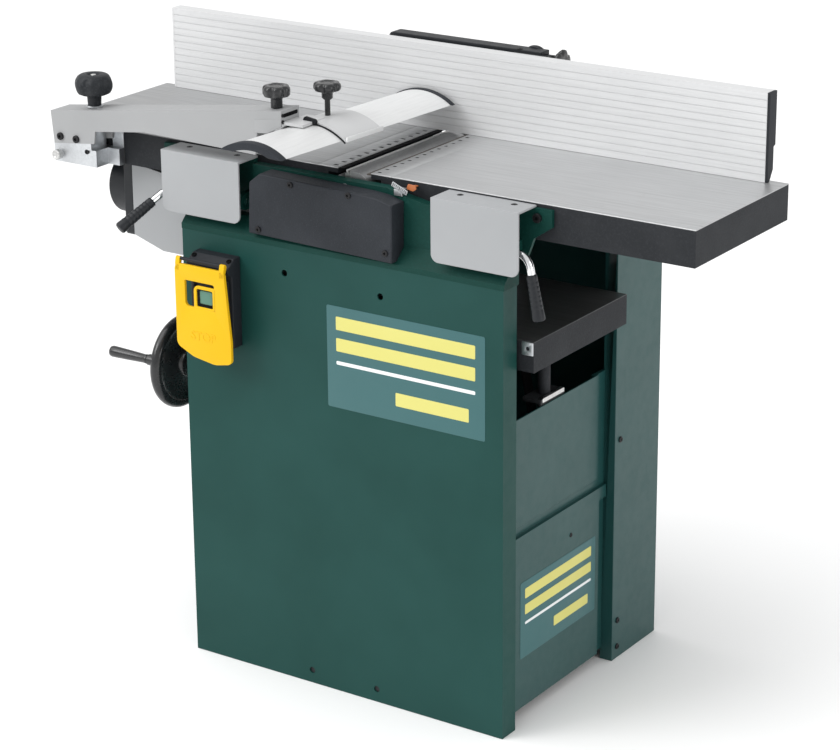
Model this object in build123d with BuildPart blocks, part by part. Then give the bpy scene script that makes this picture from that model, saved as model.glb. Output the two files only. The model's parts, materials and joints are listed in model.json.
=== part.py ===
from build123d import *
import os
from math import cos, radians, sin, sqrt, tan

# Planer-thicknesser, in millimetres. X runs along the tables, with the infeed table on +X,
# Y runs from the operator's side (-) to the fence side (+), and Z = 0 is the floor. The origin is the
# middle of the four floor bolts, under the cutterblock.

os.makedirs("parts", exist_ok=True)

# ---- Clearances ----
running_fit = 0.05          # radial, shaft in its bore
slide_gap = 0.3             # between faces that slide past each other
free_gap = 0.5              # beside parts that only pass

# ---- Tables ----
table_length = 1085.0       # both surface tables, end to end
table_width = 263.0
table_thickness = 52.0
casting_base = 668.0        # top of the stand
table_top = casting_base + 119.0
table_front = -177.5
table_rear = table_front + table_width
table_mid = (table_front + table_rear) / 2
table_bottom = table_top - table_thickness
table_end = table_length / 2
skin = 16.0                 # top plate over the pockets
rim = 12.0                  # wall round the pockets
pocket_rows = 3
lip_width = 34.0
lip_thickness = 8.0
lip_slot_width = 5.5
lip_slot_depth = 8.0
lip_slot_pitch = 18.5
outfeed_lip_x = -24.0       # free edge of the outfeed lip
infeed_lip_x = 33.0         # free edge of the infeed lip
lip_shelf = 16.0            # how far a lip stands past the casting under it
relief_depth = 27.0         # table left above the feed rollers
relief_x = 78.0             # end of that relief
cut_depth = 3.0             # infeed table's travel

# ---- Cutterblock and feed rollers ----
cutter_radius = 36.0        # over the knives
block_radius = 34.0
cutter_length = table_width - 3.0
cutter_z = table_top - cutter_radius
journal_radius = 12.5
bearing_radius = 20.0
knife_count = 3
knife_width = 3.0
knife_angle = 105.0         # of the first knife, round from +X
gullet_lag = 15.0           # from each knife to the chip gullet beside it
gullet_radius = 6.0
roller_radius = 15.0
roller_x = 50.0
roller_journal = 8.0
roller_z = cutter_z - cutter_radius + roller_radius - 1.0

# ---- Machine casting ----
cheek_thickness = 15.5
cheek_gap = 2.0             # from a table edge to the cheek beside it
front_cheek_y = (table_front - cheek_gap - cheek_thickness, table_front - cheek_gap)
rear_cheek_y = (table_rear + cheek_gap, table_rear + cheek_gap + cheek_thickness)
stand_half = 275.0
casting_half = stand_half + 1.0
cheek_low = casting_base + 30.0         # cheek tops outside the cutter bay
cheek_high = table_top - 11.0
bay_left = -160.0           # ends of the high part of the front cheek
bay_right = 158.0
bay_step = table_top - 25.0             # height of its right shoulder
rear_bay = 76.0
tie_x = (66.0, 77.0)        # webs that tie the two cheeks
tie_z = (table_top - 63.0, table_top - 31.0)

# ---- Stand ----
stand_front = table_front - 39.5
stand_rear = table_rear + 131.5
sheet = 2.5
flange_depth = 34.0
flange_return = 19.0
column_half = stand_half + 2.0
column_front = table_rear + 1.0
panel_half = stand_half - 14.0
panel_top = 462.0
panel_split = 300.0
door_top = 286.0
door_bottom = 18.0
door_proud = 3.5
door_ear = 20.0             # corner of the door that reaches the column
rail_height = 42.0
bolt_x = stand_half - 40.0
bolt_y = stand_rear - 22.0
bolt_hole_radius = 5.5
foot_width = 40.0
foot_thickness = 4.0
belt_slot = (-55.0, 75.0)
front_holes = ((-92.0, 631.0), (73.0, 625.0), (-58.0, 20.0), (58.0, 20.0))
front_hole_radius = 5.0
screw_rows = (19.0, 62.0, 353.0, 560.0)     # heights of the column's screws
screw_head = 5.0
screw_inset = 15.0
panel_inset = 22.0          # side panels end this far short of the column
door_lock = (-16.0, 240.0)
door_lock_radius = 3.5
vent_place = (-150.0, 320.0)
vent_pitch = 14.0
vent_count = 6
gland_x = 180.0
gland_z = 120.0
gland_radius = 10.0

# ---- Table hinges ----
hinge_y = table_rear + 40.5
hinge_z = table_top - 30.0
hinge_radius = 13.0
hinge_pin = 6.0
lug_width = 24.0
ear_width = 10.0
# lug centres on one table; the other table has their mirror image
hinge_x = (stand_half - 165.0, stand_half - 40.0)

# ---- Infeed carrier ----
arm_height = 20.0
arm_top = table_bottom - cut_depth - 0.4
carrier_arm = 24.0
guide_pin = 8.0
guide_pin_length = 29.0
guide_spacing = 80.0
arm_front = table_front + 5.0           # short of the front cheek, which the arms swing past
beam_y = (table_rear + 4.5, table_rear + 24.5)
beam_x = (80.0, hinge_x[1] + 12.0)
fence_base_x = (80.0, 190.0)
fence_base_y = (table_rear + 0.5, table_rear + 119.5)
fence_base_thickness = 12.0

# ---- Lever covers and lock levers ----
cover_x = (stand_half - 112.0, stand_half + 28.0)    # infeed cover; the outfeed one is its mirror image
cover_front = table_front - 47.5
cover_sheet = 3.0
cover_bottom = table_top - 94.0
cover_top = table_top - 3.0
cover_corner = 12.0
bracket_thickness = 6.0
bracket_y = (table_front - free_gap - bracket_thickness, table_front - free_gap)
lever_y = table_front - 27.5
lever_z = table_top - 65.0
lever_radius = 5.5
lever_bend = 24.0
lever_elbow_x = cover_x[1] + 3.0
lever_drop = 86.0
infeed_splay = 11.5         # degrees from straight down
outfeed_splay = 21.0
grip_radius = 7.3           # at the upper end
grip_flare = 1.7
grip_length = 64.0
raised_lever = 56.0         # degrees the outfeed lever stands forward of straight down

# ---- Fence ----
fence_x = (-514.5, 517.8)
fence_face = table_rear - 15.8
fence_height = 125.5
fence_top_depth = 21.0
fence_low_depth = 16.0
fence_step = 0.38           # share of the height where the lower, thinner part ends
fence_chamfer = 16.0
fence_flat = 6.3
fence_wall = 4.0
fence_bottom = table_top + 0.4
fence_top = fence_bottom + fence_height
groove_count = 11
groove_depth = 1.0
groove_height = 1.4
end_cap = 4.0
fence_hinge_y = fence_face + 21.3
fence_hinge_z = table_top + 10.0
knuckle_radius = 5.5
knuckle_width = 10.0
knuckle_pin = 2.5
fence_bracket_x = (95.0, 150.0)

# ---- Bridge guard ----
arm_y = (table_front - 44.5, table_front - 2.5)
arm_sheet = 3.0
arm_pivot_x = -494.7
arm_pivot_z = table_top - 11.4
arm_pin = 4.0
arm_tip_x = -87.0
arm_butt_x = -512.4
arm_butt_z = table_top + 25.3
arm_slope = 0.1317
arm_underside = [       # x, and the height over the table
    (-134.0, 12.0), (-333.6, 16.5), (-428.0, 4.3), (-430.7, -14.6), (-507.7, -23.6),
]
arm_step_x = -128.0
bracket_end = -411.0        # guard bracket's right end
bracket_ear = -432.0
bracket_neck = -440.0
bracket_shelf = table_top - 27.0
bracket_ear_top = table_top - 2.0
bracket_neck_top = table_top + 12.0
height_knob_x = -444.5
clamp_knob_x = -110.0
guard_angle = 3.9           # degrees in plan
guard_mid_x = -53.0
guard_knob_x = -59.5        # the knob over the guard, beside its middle line
guard_knob_lift = 22.0
guard_mid_y = table_front + 27.5
guard_low = table_top + 44.5
guard_width = 105.0
guard_rise = 15.5
guard_wall = 4.0
guard_near = -160.0         # ends of the guard, measured from its middle line
guard_far = 207.0
guard_cap = 8.0
guard_cap_near = 13.0
guard_cap_lip = 1.6
guard_cap_wall = 11.0
holder_half = 40.0
holder_wall = 4.0

# ---- Switch ----
switch_x = (-246.0, -170.0)
switch_z = (508.0, 642.0)
switch_front = stand_front - 21.0
flap_x = (-256.0, -157.0)
flap_z = (487.0, 631.0)
flap_y = (switch_front - 24.0, switch_front - 18.0)
flap_sheet = 3.0
button_radius = 9.0
start_x = -205.0
start_z = 583.0
stop_x = -201.0
stop_z = 527.0

# ---- Thicknessing table and its lift ----
bed_half = 298.0
bed_y = (table_front + 1.8, table_rear - 8.3)
bed_top = 588.0
bed_thickness = 45.0
column_radius = 35.0
column_bottom = 300.0
sleeve_wall = 15.0
sleeve_z = (276.0, 455.0)
member_z = (276.0, 300.0)
screw_x = -110.0
screw_y = -160.0
screw_radius = 8.0
screw_top = 526.0
wheel_z = 438.0
wheel_x = -330.0
wheel_radius = 72.0
wheel_rim = 9.0
gear_reach = 25.0           # back of each bevel from the point where the axes cross
gear_face = 10.0
gear_gap = 0.4
post_x = panel_half - 17.0
post_y = -60.0
post_radius = 9.0

# ---- Dust hood ----
hood_y = (table_front + 27.5, table_rear - 27.5)
hood_x = (-367.5, 65.0)
hood_end = -419.0
hood_z = (casting_base - 68.0, table_top - 65.0)
hood_mouth_x = -70.0
hood_mouth_top = table_top - 79.0
hood_wall = 3.0
port_y = hood_y[0] + 50.0
port_z = hood_z[0] + 84.0
port_radius = 48.0
port_wall = 4.0
port_length = 35.0
port_flange = 16.0
port_plate = 108.0
port_plate_z = (hood_z[0] + 17.0, table_bottom - 2.0)

# ---- Drive ----
motor_x = 100.0
motor_z = 150.0
motor_radius = 75.0
pulley_y = (table_rear + 32.5, table_rear + 56.5)
motor_y = (-130.0, pulley_y[0] - 13.0)
motor_shaft = 12.0
cutter_pulley_radius = 30.0
motor_pulley_radius = 42.0
belt_thickness = 4.0
belt_width = 20.0
base_bar_height = 40.0


def block(x, y, z, mode=Mode.ADD):
    """A box between (low, high) pairs."""
    with Locations(((x[0] + x[1]) / 2, (y[0] + y[1]) / 2, (z[0] + z[1]) / 2)):
        Box(x[1] - x[0], y[1] - y[0], z[1] - z[0], mode=mode)


def rod(start, direction, radius, length, mode=Mode.ADD):
    """A cylinder from a point along a direction."""
    with Locations(Plane(origin=start, z_dir=direction)):
        Cylinder(radius, length, align=(Align.CENTER, Align.CENTER, Align.MIN), mode=mode)


def plate_xz(points, y, mode=Mode.ADD):
    """An outline in X and Z, between two values of Y."""
    with BuildSketch(Plane.XZ.offset(-y[1])) as outline:
        with BuildLine():
            Polyline(*points, close=True)
        make_face()
    extrude(outline.sketch, amount=y[1] - y[0], mode=mode)


def plate_yz(points, x, mode=Mode.ADD):
    """An outline in Y and Z, between two values of X."""
    with BuildSketch(Plane.YZ.offset(x[0])) as outline:
        with BuildLine():
            Polyline(*points, close=True)
        make_face()
    extrude(outline.sketch, amount=x[1] - x[0], mode=mode)


def mirrored(pair):
    """The mirror image of an (low, high) pair about 0."""
    return (-pair[1], -pair[0])


def lobed_knob(base, direction, radius, height, neck, stud, lobes=6):
    """A lobed hand knob: stud, neck and head from a base point along a direction."""
    seat = Plane(origin=base, z_dir=direction)
    with BuildSketch(seat.offset(height * 0.5)) as head:
        Circle(radius)
        with PolarLocations(radius * 1.12, lobes):
            Circle(radius * 0.26, mode=Mode.SUBTRACT)
    extrude(head.sketch, amount=height * 0.5)
    with Locations(seat):
        Cylinder(neck, height * 0.5, align=(Align.CENTER, Align.CENTER, Align.MIN))
    with Locations(seat.offset(-stud[1])):
        Cylinder(stud[0], stud[1], align=(Align.CENTER, Align.CENTER, Align.MIN))


# ================= Stand =================

stand_top = casting_base
front_inner = stand_front + sheet
flange_end = stand_front + flange_depth
inner_half = panel_half - sheet
panel_end = column_front - panel_inset

with BuildPart() as front_panel:
    block((-stand_half, stand_half), (stand_front, front_inner), (0, stand_top))
    for side in (-1, 1):
        outer = sorted((side * stand_half, side * (stand_half - sheet)))
        block(outer, (stand_front, flange_end), (0, stand_top))
        turned = sorted((side * stand_half, side * (stand_half - flange_return)))
        block(turned, (flange_end - sheet, flange_end), (0, stand_top))
    block((-stand_half, stand_half), (stand_front, flange_end), (stand_top - sheet, stand_top))
    for x, z in front_holes:
        rod((x, stand_front, z), (0, 1, 0), front_hole_radius, sheet, mode=Mode.SUBTRACT)
front_panel.part.label = "front_panel"
export_step(front_panel.part, "parts/front_panel.step")

inner_x = (-column_half + sheet, column_half - sheet)
column_walls = []
for side in (-1, 1):
    with BuildPart() as side_wall:
        outer = sorted((side * column_half, side * (column_half - sheet)))
        block(outer, (column_front, stand_rear), (0, stand_top))
        turned = sorted((side * column_half, side * (panel_half - 5)))
        block(turned, (column_front, column_front + sheet), (0, stand_top - sheet))
    column_walls.append(side_wall.part)
with BuildPart() as back_panel:
    block(inner_x, (stand_rear - sheet, stand_rear), (0, stand_top))
    vent_plane = Plane(origin=(vent_place[0], stand_rear - sheet, vent_place[1]), z_dir=(0, 1, 0))
    with Locations(vent_plane):
        with GridLocations(1, vent_pitch, 1, vent_count):
            low = (Align.CENTER, Align.CENTER, Align.MIN)
            Box(44, 6, 2 * sheet, align=low, mode=Mode.SUBTRACT)
    rod((gland_x, stand_rear - sheet, gland_z), (0, 1, 0), gland_radius, sheet, mode=Mode.SUBTRACT)
with BuildPart() as top_plate:
    block(inner_x, (column_front, stand_rear - sheet), (stand_top - sheet, stand_top))
    belt_y = (pulley_y[0] - 8, pulley_y[1] + 8)
    block(belt_slot, belt_y, (stand_top - sheet, stand_top), mode=Mode.SUBTRACT)
rear_column = Compound(label="rear_column", children=[*column_walls, back_panel.part, top_plate.part])
export_step(rear_column, "parts/rear_column.step")

with BuildPart() as side_panels:
    for side in (-1, 1):
        upper = sorted((side * inner_half, side * panel_half))
        door = sorted((side * inner_half, side * (panel_half + door_proud)))
        backing = sorted((side * (inner_half - 6.5), side * inner_half))
        block(upper, (flange_end, panel_end), (panel_split, panel_top))
        block(door, (flange_end, panel_end), (door_bottom, door_top))
        block(door, (flange_end, column_front - 2), (door_top - door_ear, door_top))
        block(backing, (flange_end, column_front), (door_top - 13, door_top - 13 + rail_height))
        block(backing, (panel_end - 8, column_front), (door_bottom, panel_top))
    with BuildSketch(Plane.YZ.offset(-panel_half - sheet)):
        with Locations((screw_y, wheel_z)):
            Circle(screw_radius + 4)
    extrude(amount=3 * sheet, mode=Mode.SUBTRACT)
side_panels.part.label = "side_panels"
export_step(side_panels.part, "parts/side_panels.step")

rail_half = stand_half - flange_return - free_gap
with BuildPart() as base_rails:
    for side in (-1, 1):
        edge = side * (stand_rear - sheet)
        flat = sorted((edge, edge - side * foot_width))
        upright = sorted((edge, edge - side * foot_thickness))
        block((-rail_half, rail_half), flat, (0, foot_thickness))
        block((-rail_half, rail_half), upright, (0, base_bar_height))
    for bar_x in (motor_x - 50, motor_x + 50):
        block(
            (bar_x - 15, bar_x + 15),
            (front_inner + foot_width, stand_rear - sheet - foot_width),
            (0, base_bar_height),
        )
    with Locations((0, 0, foot_thickness)):
        with GridLocations(2 * bolt_x, 2 * bolt_y, 2, 2):
            Hole(bolt_hole_radius, foot_thickness)
base_rails.part.label = "base_rails"
export_step(base_rails.part, "parts/base_rails.step")

cover_depth = 31.0
cover_y = (front_cheek_y[0] - cover_depth, front_cheek_y[0])
cover_bolts = [
    (-71.0, cheek_high - 10),
    (28.0, cheek_high - 10),
    (-129.0, cheek_high - 84),
    (89.0, cheek_high - 83),
]
cover_bolt_radius = 4.5
with BuildPart() as frame_fasteners:
    for side in (-1, 1):
        for z in screw_rows:
            rod((side * column_half, column_front + screw_inset, z), (side, 0, 0), screw_head, 3)
        lock = (side * (panel_half + door_proud), *door_lock)
        rod(lock, (side, 0, 0), door_lock_radius, 5)
    for x, z in cover_bolts:
        rod((x, cover_y[0], z), (0, -1, 0), cover_bolt_radius, 3)
frame_fasteners.part.label = "frame_fasteners"
export_step(frame_fasteners.part, "parts/frame_fasteners.step")

# ================= Machine casting and covers =================

bay_bends = (72.0, 100.0, 135.0)    # where the front cheek's top steps down
bay_drop = 8.0
hinge_foot = hinge_y + 14
front_outline = [
    (-casting_half, casting_base),
    (-casting_half, cheek_low),
    (bay_left, cheek_low),
    (bay_left, cheek_high),
    (bay_bends[0], cheek_high),
    (bay_bends[1], cheek_high - bay_drop),
    (bay_bends[2], bay_step),
    (bay_right, bay_step),
    (bay_right, cheek_low),
    (casting_half, cheek_low),
    (casting_half, casting_base),
]
rear_outline = [
    (-casting_half, casting_base),
    (-casting_half, cheek_low),
    (-rear_bay, cheek_low),
    (-rear_bay, cheek_high - 10),
    (rear_bay, cheek_high - 10),
    (rear_bay, cheek_low),
    (casting_half, cheek_low),
    (casting_half, casting_base),
]
# x, and the height over the casting's foot
cover_points = [(-144, 91), (-125, 106), (50, 102), (75, 100), (100, 94), (99, 11), (-147, 16)]
cover_outline = [(x, casting_base + z) for x, z in cover_points]
cover_wall = 3.0

with BuildPart() as machine_casting:
    plate_xz(front_outline, front_cheek_y)
    plate_xz(rear_outline, rear_cheek_y)
    skirt = [
        (front_cheek_y[0], cheek_low),
        (stand_front, casting_base + 8),
        (stand_front, casting_base),
        (front_cheek_y[0], casting_base),
    ]
    plate_yz(skirt, (-casting_half, casting_half))
    for side in (-1, 1):
        foot = sorted((side * rear_bay, side * casting_half))
        block(foot, (rear_cheek_y[1], hinge_foot), (casting_base, casting_base + 10))
    for side in (-1, 1):
        web = sorted((side * tie_x[0], side * tie_x[1]))
        block(web, (front_cheek_y[1], rear_cheek_y[0]), tie_z)
    plate_xz(cover_outline, cover_y, mode=Mode.SUBTRACT)
    for y in (front_cheek_y, rear_cheek_y):
        rod((0, y[0], cutter_z), (0, 1, 0), bearing_radius, cheek_thickness, mode=Mode.SUBTRACT)
        for side in (-1, 1):
            start = (side * roller_x, y[0], roller_z)
            rod(start, (0, 1, 0), roller_journal + running_fit, cheek_thickness, mode=Mode.SUBTRACT)
machine_casting.part.label = "machine_casting"
export_step(machine_casting.part, "parts/machine_casting.step")

with BuildPart() as cutter_bearings:
    for y in (front_cheek_y, rear_cheek_y):
        rod((0, y[0], cutter_z), (0, 1, 0), bearing_radius, cheek_thickness)
        bore = journal_radius + running_fit
        rod((0, y[0], cutter_z), (0, 1, 0), bore, cheek_thickness, mode=Mode.SUBTRACT)
cutter_bearings.part.label = "cutter_bearings"
export_step(cutter_bearings.part, "parts/cutter_bearings.step")

with BuildPart() as front_cover:
    plate_xz(cover_outline, cover_y)
    front_face = front_cover.faces().sort_by(Axis.Y)[0]
    fillet(front_face.edges(), 2.5)
    with BuildSketch(Plane.XZ.offset(-cover_y[1])):
        with BuildLine():
            Polyline(*cover_outline, close=True)
        make_face()
        offset(amount=-cover_wall, mode=Mode.REPLACE)
    extrude(amount=cover_depth - cover_wall, mode=Mode.SUBTRACT)
front_cover.part.label = "front_cover"
export_step(front_cover.part, "parts/front_cover.step")

ear_bottom = casting_base + 10
ear_seats = []
for lug_x in hinge_x + tuple(-x for x in hinge_x):
    inner = lug_width / 2 + free_gap
    ear_seats += [(lug_x - inner - ear_width, lug_x - inner), (lug_x + inner, lug_x + inner + ear_width)]

pin_reach = lug_width / 2 + free_gap + ear_width
with BuildPart() as table_hinges:
    for seat in ear_seats:
        block(seat, (hinge_y - hinge_radius, hinge_y + hinge_radius), (ear_bottom, hinge_z))
        rod((seat[0], hinge_y, hinge_z), (1, 0, 0), hinge_radius, ear_width)
    for lug_x in hinge_x + tuple(-x for x in hinge_x):
        rod((lug_x - pin_reach, hinge_y, hinge_z), (1, 0, 0), hinge_pin, 2 * pin_reach)
table_hinges.part.label = "table_hinges"
export_step(table_hinges.part, "parts/table_hinges.step")

# ================= Surface tables =================

seat_z = table_top - lip_thickness
relief_z = table_top - relief_depth


def table_lip(free_edge, side):
    """A steel lip with a comb of slots along its free edge."""
    x = sorted((free_edge, free_edge + side * lip_width))
    block(x, (table_front, table_rear), (seat_z, table_top))
    count = int((table_width - 2 * lip_slot_pitch) / lip_slot_pitch)
    with Locations((free_edge + side * lip_slot_depth / 2, table_mid, seat_z)):
        with GridLocations(1, lip_slot_pitch, 1, count):
            low = (Align.CENTER, Align.CENTER, Align.MIN)
            Box(lip_slot_depth, lip_slot_width, lip_thickness, align=low, mode=Mode.SUBTRACT)


def table_plate(free_edge, side, pocket_start, columns):
    """A cast table: plate, lip seat, roller relief and ribbed underside."""
    casting_edge = free_edge + side * lip_shelf
    block(sorted((casting_edge, side * table_end)), (table_front, table_rear), (table_bottom, table_top))
    seat = sorted((casting_edge, free_edge + side * lip_width))
    block(seat, (table_front, table_rear), (seat_z, table_top), mode=Mode.SUBTRACT)
    relief = sorted((casting_edge, side * relief_x))
    block(relief, (table_front, table_rear), (table_bottom, relief_z), mode=Mode.SUBTRACT)
    length = (table_end - rim - pocket_start - (columns - 1) * rim) / columns
    width = (table_width - (pocket_rows + 1) * rim) / pocket_rows
    with Locations((side * (pocket_start + table_end - rim) / 2, table_mid, table_bottom)):
        with GridLocations(length + rim, width + rim, columns, pocket_rows):
            low = (Align.CENTER, Align.CENTER, Align.MIN)
            Box(length, width, table_thickness - skin, align=low, mode=Mode.SUBTRACT)


def hinge_lug(x, front, bottom):
    """A lug from a table's rear to the hinge line, with its bore."""
    block((x - lug_width / 2, x + lug_width / 2), (front, hinge_y), (bottom, hinge_z + hinge_radius))
    start = (x - lug_width / 2, hinge_y, hinge_z)
    rod(start, (1, 0, 0), hinge_radius, lug_width)
    rod(start, (1, 0, 0), hinge_pin + running_fit, lug_width, mode=Mode.SUBTRACT)


with BuildPart() as outfeed_table:
    table_plate(outfeed_lip_x, -1, relief_x + rim, 4)
    for lug_x in hinge_x:
        hinge_lug(-lug_x, table_rear, hinge_z - hinge_radius)
outfeed_table.part.label = "outfeed_table"
export_step(outfeed_table.part, "parts/outfeed_table.step")

with BuildPart() as outfeed_lip:
    table_lip(outfeed_lip_x, -1)
outfeed_lip.part.label = "outfeed_lip"
export_step(outfeed_lip.part, "parts/outfeed_lip.step")

guide_spots = [(x, table_mid + side * guide_spacing) for x in hinge_x for side in (-1, 1)]
depth_knob_x = sum(hinge_x) / 2
guide_hole = guide_pin_length + 4
with BuildPart() as infeed_table:
    table_plate(infeed_lip_x, 1, hinge_x[1] + carrier_arm / 2 + rim, 3)
    for x, y in guide_spots:
        rod((x, y, table_bottom), (0, 0, 1), guide_pin + running_fit, guide_hole, mode=Mode.SUBTRACT)
    start = (depth_knob_x, table_mid, table_bottom)
    rod(start, (0, 0, 1), 6 + running_fit, guide_hole, mode=Mode.SUBTRACT)
infeed_table.part.label = "infeed_table"
export_step(infeed_table.part, "parts/infeed_table.step")

with BuildPart() as infeed_lip:
    table_lip(infeed_lip_x, 1)
infeed_lip.part.label = "infeed_lip"
export_step(infeed_lip.part, "parts/infeed_lip.step")

arm_z = (arm_top - arm_height, arm_top)
bracket_right = cover_x[1] + 27.0
bracket_top = cover_top - cover_sheet
bracket_outline = [
    (cover_x[0] + 1, bracket_top),
    (bracket_right, bracket_top),
    (bracket_right, hinge_z),
    (cover_x[1] - 1, table_top - 49),
    (cover_x[1] - 11, arm_z[0]),
    (cover_x[0] + 1, arm_z[0]),
]
lever_lugs = ((cover_x[0] + 2, cover_x[0] + 14), (cover_x[1] - 31, cover_x[1] - 19))


def lever_bearings(lugs, wall):
    """Two lugs that stand forward from a bracket and carry a lock lever's shaft."""
    for lug in lugs:
        block(lug, (lever_y, wall), (lever_z - 12, lever_z + 12))
        rod((lug[0], lever_y, lever_z), (1, 0, 0), 12, lug[1] - lug[0])
        bore = lever_radius + running_fit
        rod((lug[0], lever_y, lever_z), (1, 0, 0), bore, lug[1] - lug[0], mode=Mode.SUBTRACT)


with BuildPart() as infeed_carrier:
    for x in hinge_x:
        arm = (x - carrier_arm / 2, x + carrier_arm / 2)
        block(arm, (arm_front, beam_y[1]), arm_z)
        hinge_lug(x, beam_y[0], hinge_z - hinge_radius)
    block((hinge_x[0], hinge_x[1]), (table_mid - 20, table_mid + 20), arm_z)
    block((hinge_x[0], hinge_x[1]), (arm_front, arm_front + 20), arm_z)
    block((cover_x[0] + 1, hinge_x[1] + carrier_arm / 2), (bracket_y[1], arm_front), arm_z)
    block(beam_x, beam_y, (arm_z[0], table_top - fence_base_thickness))
    plate_xz(bracket_outline, bracket_y)
    lever_bearings(lever_lugs, bracket_y[0])
    for x, y in guide_spots:
        rod((x, y, arm_top), (0, 0, 1), guide_pin, guide_pin_length)
    start = (depth_knob_x, table_mid, arm_z[0])
    rod(start, (0, 0, 1), 6 + running_fit, arm_height, mode=Mode.SUBTRACT)
infeed_carrier.part.label = "infeed_carrier"
export_step(infeed_carrier.part, "parts/infeed_carrier.step")

with BuildPart() as outfeed_bracket:
    outline = [(-x, z) for x, z in bracket_outline]
    plate_xz(outline, (bracket_y[0], table_front))
    lever_bearings([mirrored(lug) for lug in lever_lugs], bracket_y[0])
outfeed_bracket.part.label = "outfeed_bracket"
export_step(outfeed_bracket.part, "parts/outfeed_bracket.step")


def lever_cover(x):
    """A bent sheet cover with rounded lower corners."""
    mid = (x[0] + x[1]) / 2
    with BuildSketch(Plane.XZ.offset(-cover_front - cover_sheet)) as outline:
        with Locations((mid, (cover_bottom + cover_top) / 2)):
            Rectangle(x[1] - x[0], cover_top - cover_bottom)
        fillet(outline.vertices().group_by(Axis.Y)[0], cover_corner)
    extrude(outline.sketch, amount=cover_sheet)
    back = table_front - 2 * free_gap
    block(x, (cover_front, back), (bracket_top, cover_top))
    for hole_x in (x[0] + 27, x[1] - 27):
        with Locations((hole_x, (cover_front + back) / 2 + 10, cover_top)):
            CounterSinkHole(2.6, 5.2)


with BuildPart() as infeed_lever_cover:
    lever_cover(cover_x)
infeed_lever_cover.part.label = "infeed_lever_cover"
export_step(infeed_lever_cover.part, "parts/infeed_lever_cover.step")

with BuildPart() as outfeed_lever_cover:
    lever_cover(mirrored(cover_x))
outfeed_lever_cover.part.label = "outfeed_lever_cover"
export_step(outfeed_lever_cover.part, "parts/outfeed_lever_cover.step")

with BuildPart() as depth_knob:
    rod((depth_knob_x, table_mid, arm_z[0] - 1), (0, 0, 1), 6, arm_height + guide_pin_length + 1)
    knob_top = arm_z[0] - slide_gap
    rod((depth_knob_x, table_mid, knob_top), (0, 0, -1), 20, 16)
    with Locations((depth_knob_x, table_mid, knob_top - 16)):
        with PolarLocations(21.5, 8):
            Cylinder(4, 16, align=(Align.CENTER, Align.CENTER, Align.MIN), mode=Mode.SUBTRACT)
depth_knob.part.label = "depth_knob"
export_step(depth_knob.part, "parts/depth_knob.step")


def lever_frame(side, forward):
    """Plane of a lock lever: x along the shaft outwards, y straight along the drop."""
    drop = (0, -sin(radians(forward)), -cos(radians(forward)))
    out = Vector(side, 0, 0)
    return Plane(origin=(0, lever_y, lever_z), x_dir=out, z_dir=out.cross(Vector(*drop)))


def drop_point(splay, drop):
    """A point of the lever's drop in the lever's plane."""
    return (lever_elbow_x + drop * tan(radians(splay)), drop)


def lever_rod(side, forward, splay):
    """Chrome rod: shaft under the cover, one bend and the drop into the grip."""
    frame = lever_frame(side, forward)
    drop_end = drop_point(splay, lever_drop)
    with BuildLine(frame) as path:
        FilletPolyline((cover_x[0] + 3, 0), (lever_elbow_x, 0), drop_end, radius=lever_bend)
    start = frame.from_local_coords((cover_x[0] + 3, 0))
    with BuildSketch(Plane(origin=start, z_dir=(side, 0, 0))) as section:
        Circle(lever_radius)
    sweep(section.sketch, path=path.line)


def lever_grip(side, forward, splay):
    """Plastic grip over the lower end of a lock lever, thicker at its free end."""
    frame = lever_frame(side, forward)
    share = (grip_length - 4) * cos(radians(splay))
    start = frame.from_local_coords(drop_point(splay, lever_drop - share))
    end = frame.from_local_coords(drop_point(splay, lever_drop))
    direction = (end - start).normalized()
    with Locations(Plane(origin=start, z_dir=direction)):
        low = (Align.CENTER, Align.CENTER, Align.MIN)
        Cone(grip_radius, grip_radius + grip_flare, grip_length, align=low)
    rod(start, direction, lever_radius, grip_length - 4, mode=Mode.SUBTRACT)


with BuildPart() as infeed_lever_rod:
    lever_rod(1, 0, infeed_splay)
infeed_lever_rod.part.label = "infeed_lever_rod"
export_step(infeed_lever_rod.part, "parts/infeed_lever_rod.step")

with BuildPart() as infeed_lever_grip:
    lever_grip(1, 0, infeed_splay)
infeed_lever_grip.part.label = "infeed_lever_grip"
export_step(infeed_lever_grip.part, "parts/infeed_lever_grip.step")

with BuildPart() as outfeed_lever_rod:
    lever_rod(-1, raised_lever, outfeed_splay)
outfeed_lever_rod.part.label = "outfeed_lever_rod"
export_step(outfeed_lever_rod.part, "parts/outfeed_lever_rod.step")

with BuildPart() as outfeed_lever_grip:
    lever_grip(-1, raised_lever, outfeed_splay)
outfeed_lever_grip.part.label = "outfeed_lever_grip"
export_step(outfeed_lever_grip.part, "parts/outfeed_lever_grip.step")

# ================= Fence =================

fence_travel = 90.0
key_x = (130.0, 140.0)
key_height = 5.0
with BuildPart() as fence_base:
    block(fence_base_x, fence_base_y, (table_top - fence_base_thickness, table_top))
    block(key_x, fence_base_y, (table_top - key_height - slide_gap, table_top), mode=Mode.SUBTRACT)
fence_base.part.label = "fence_base"
export_step(fence_base.part, "parts/fence_base.step")

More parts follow.
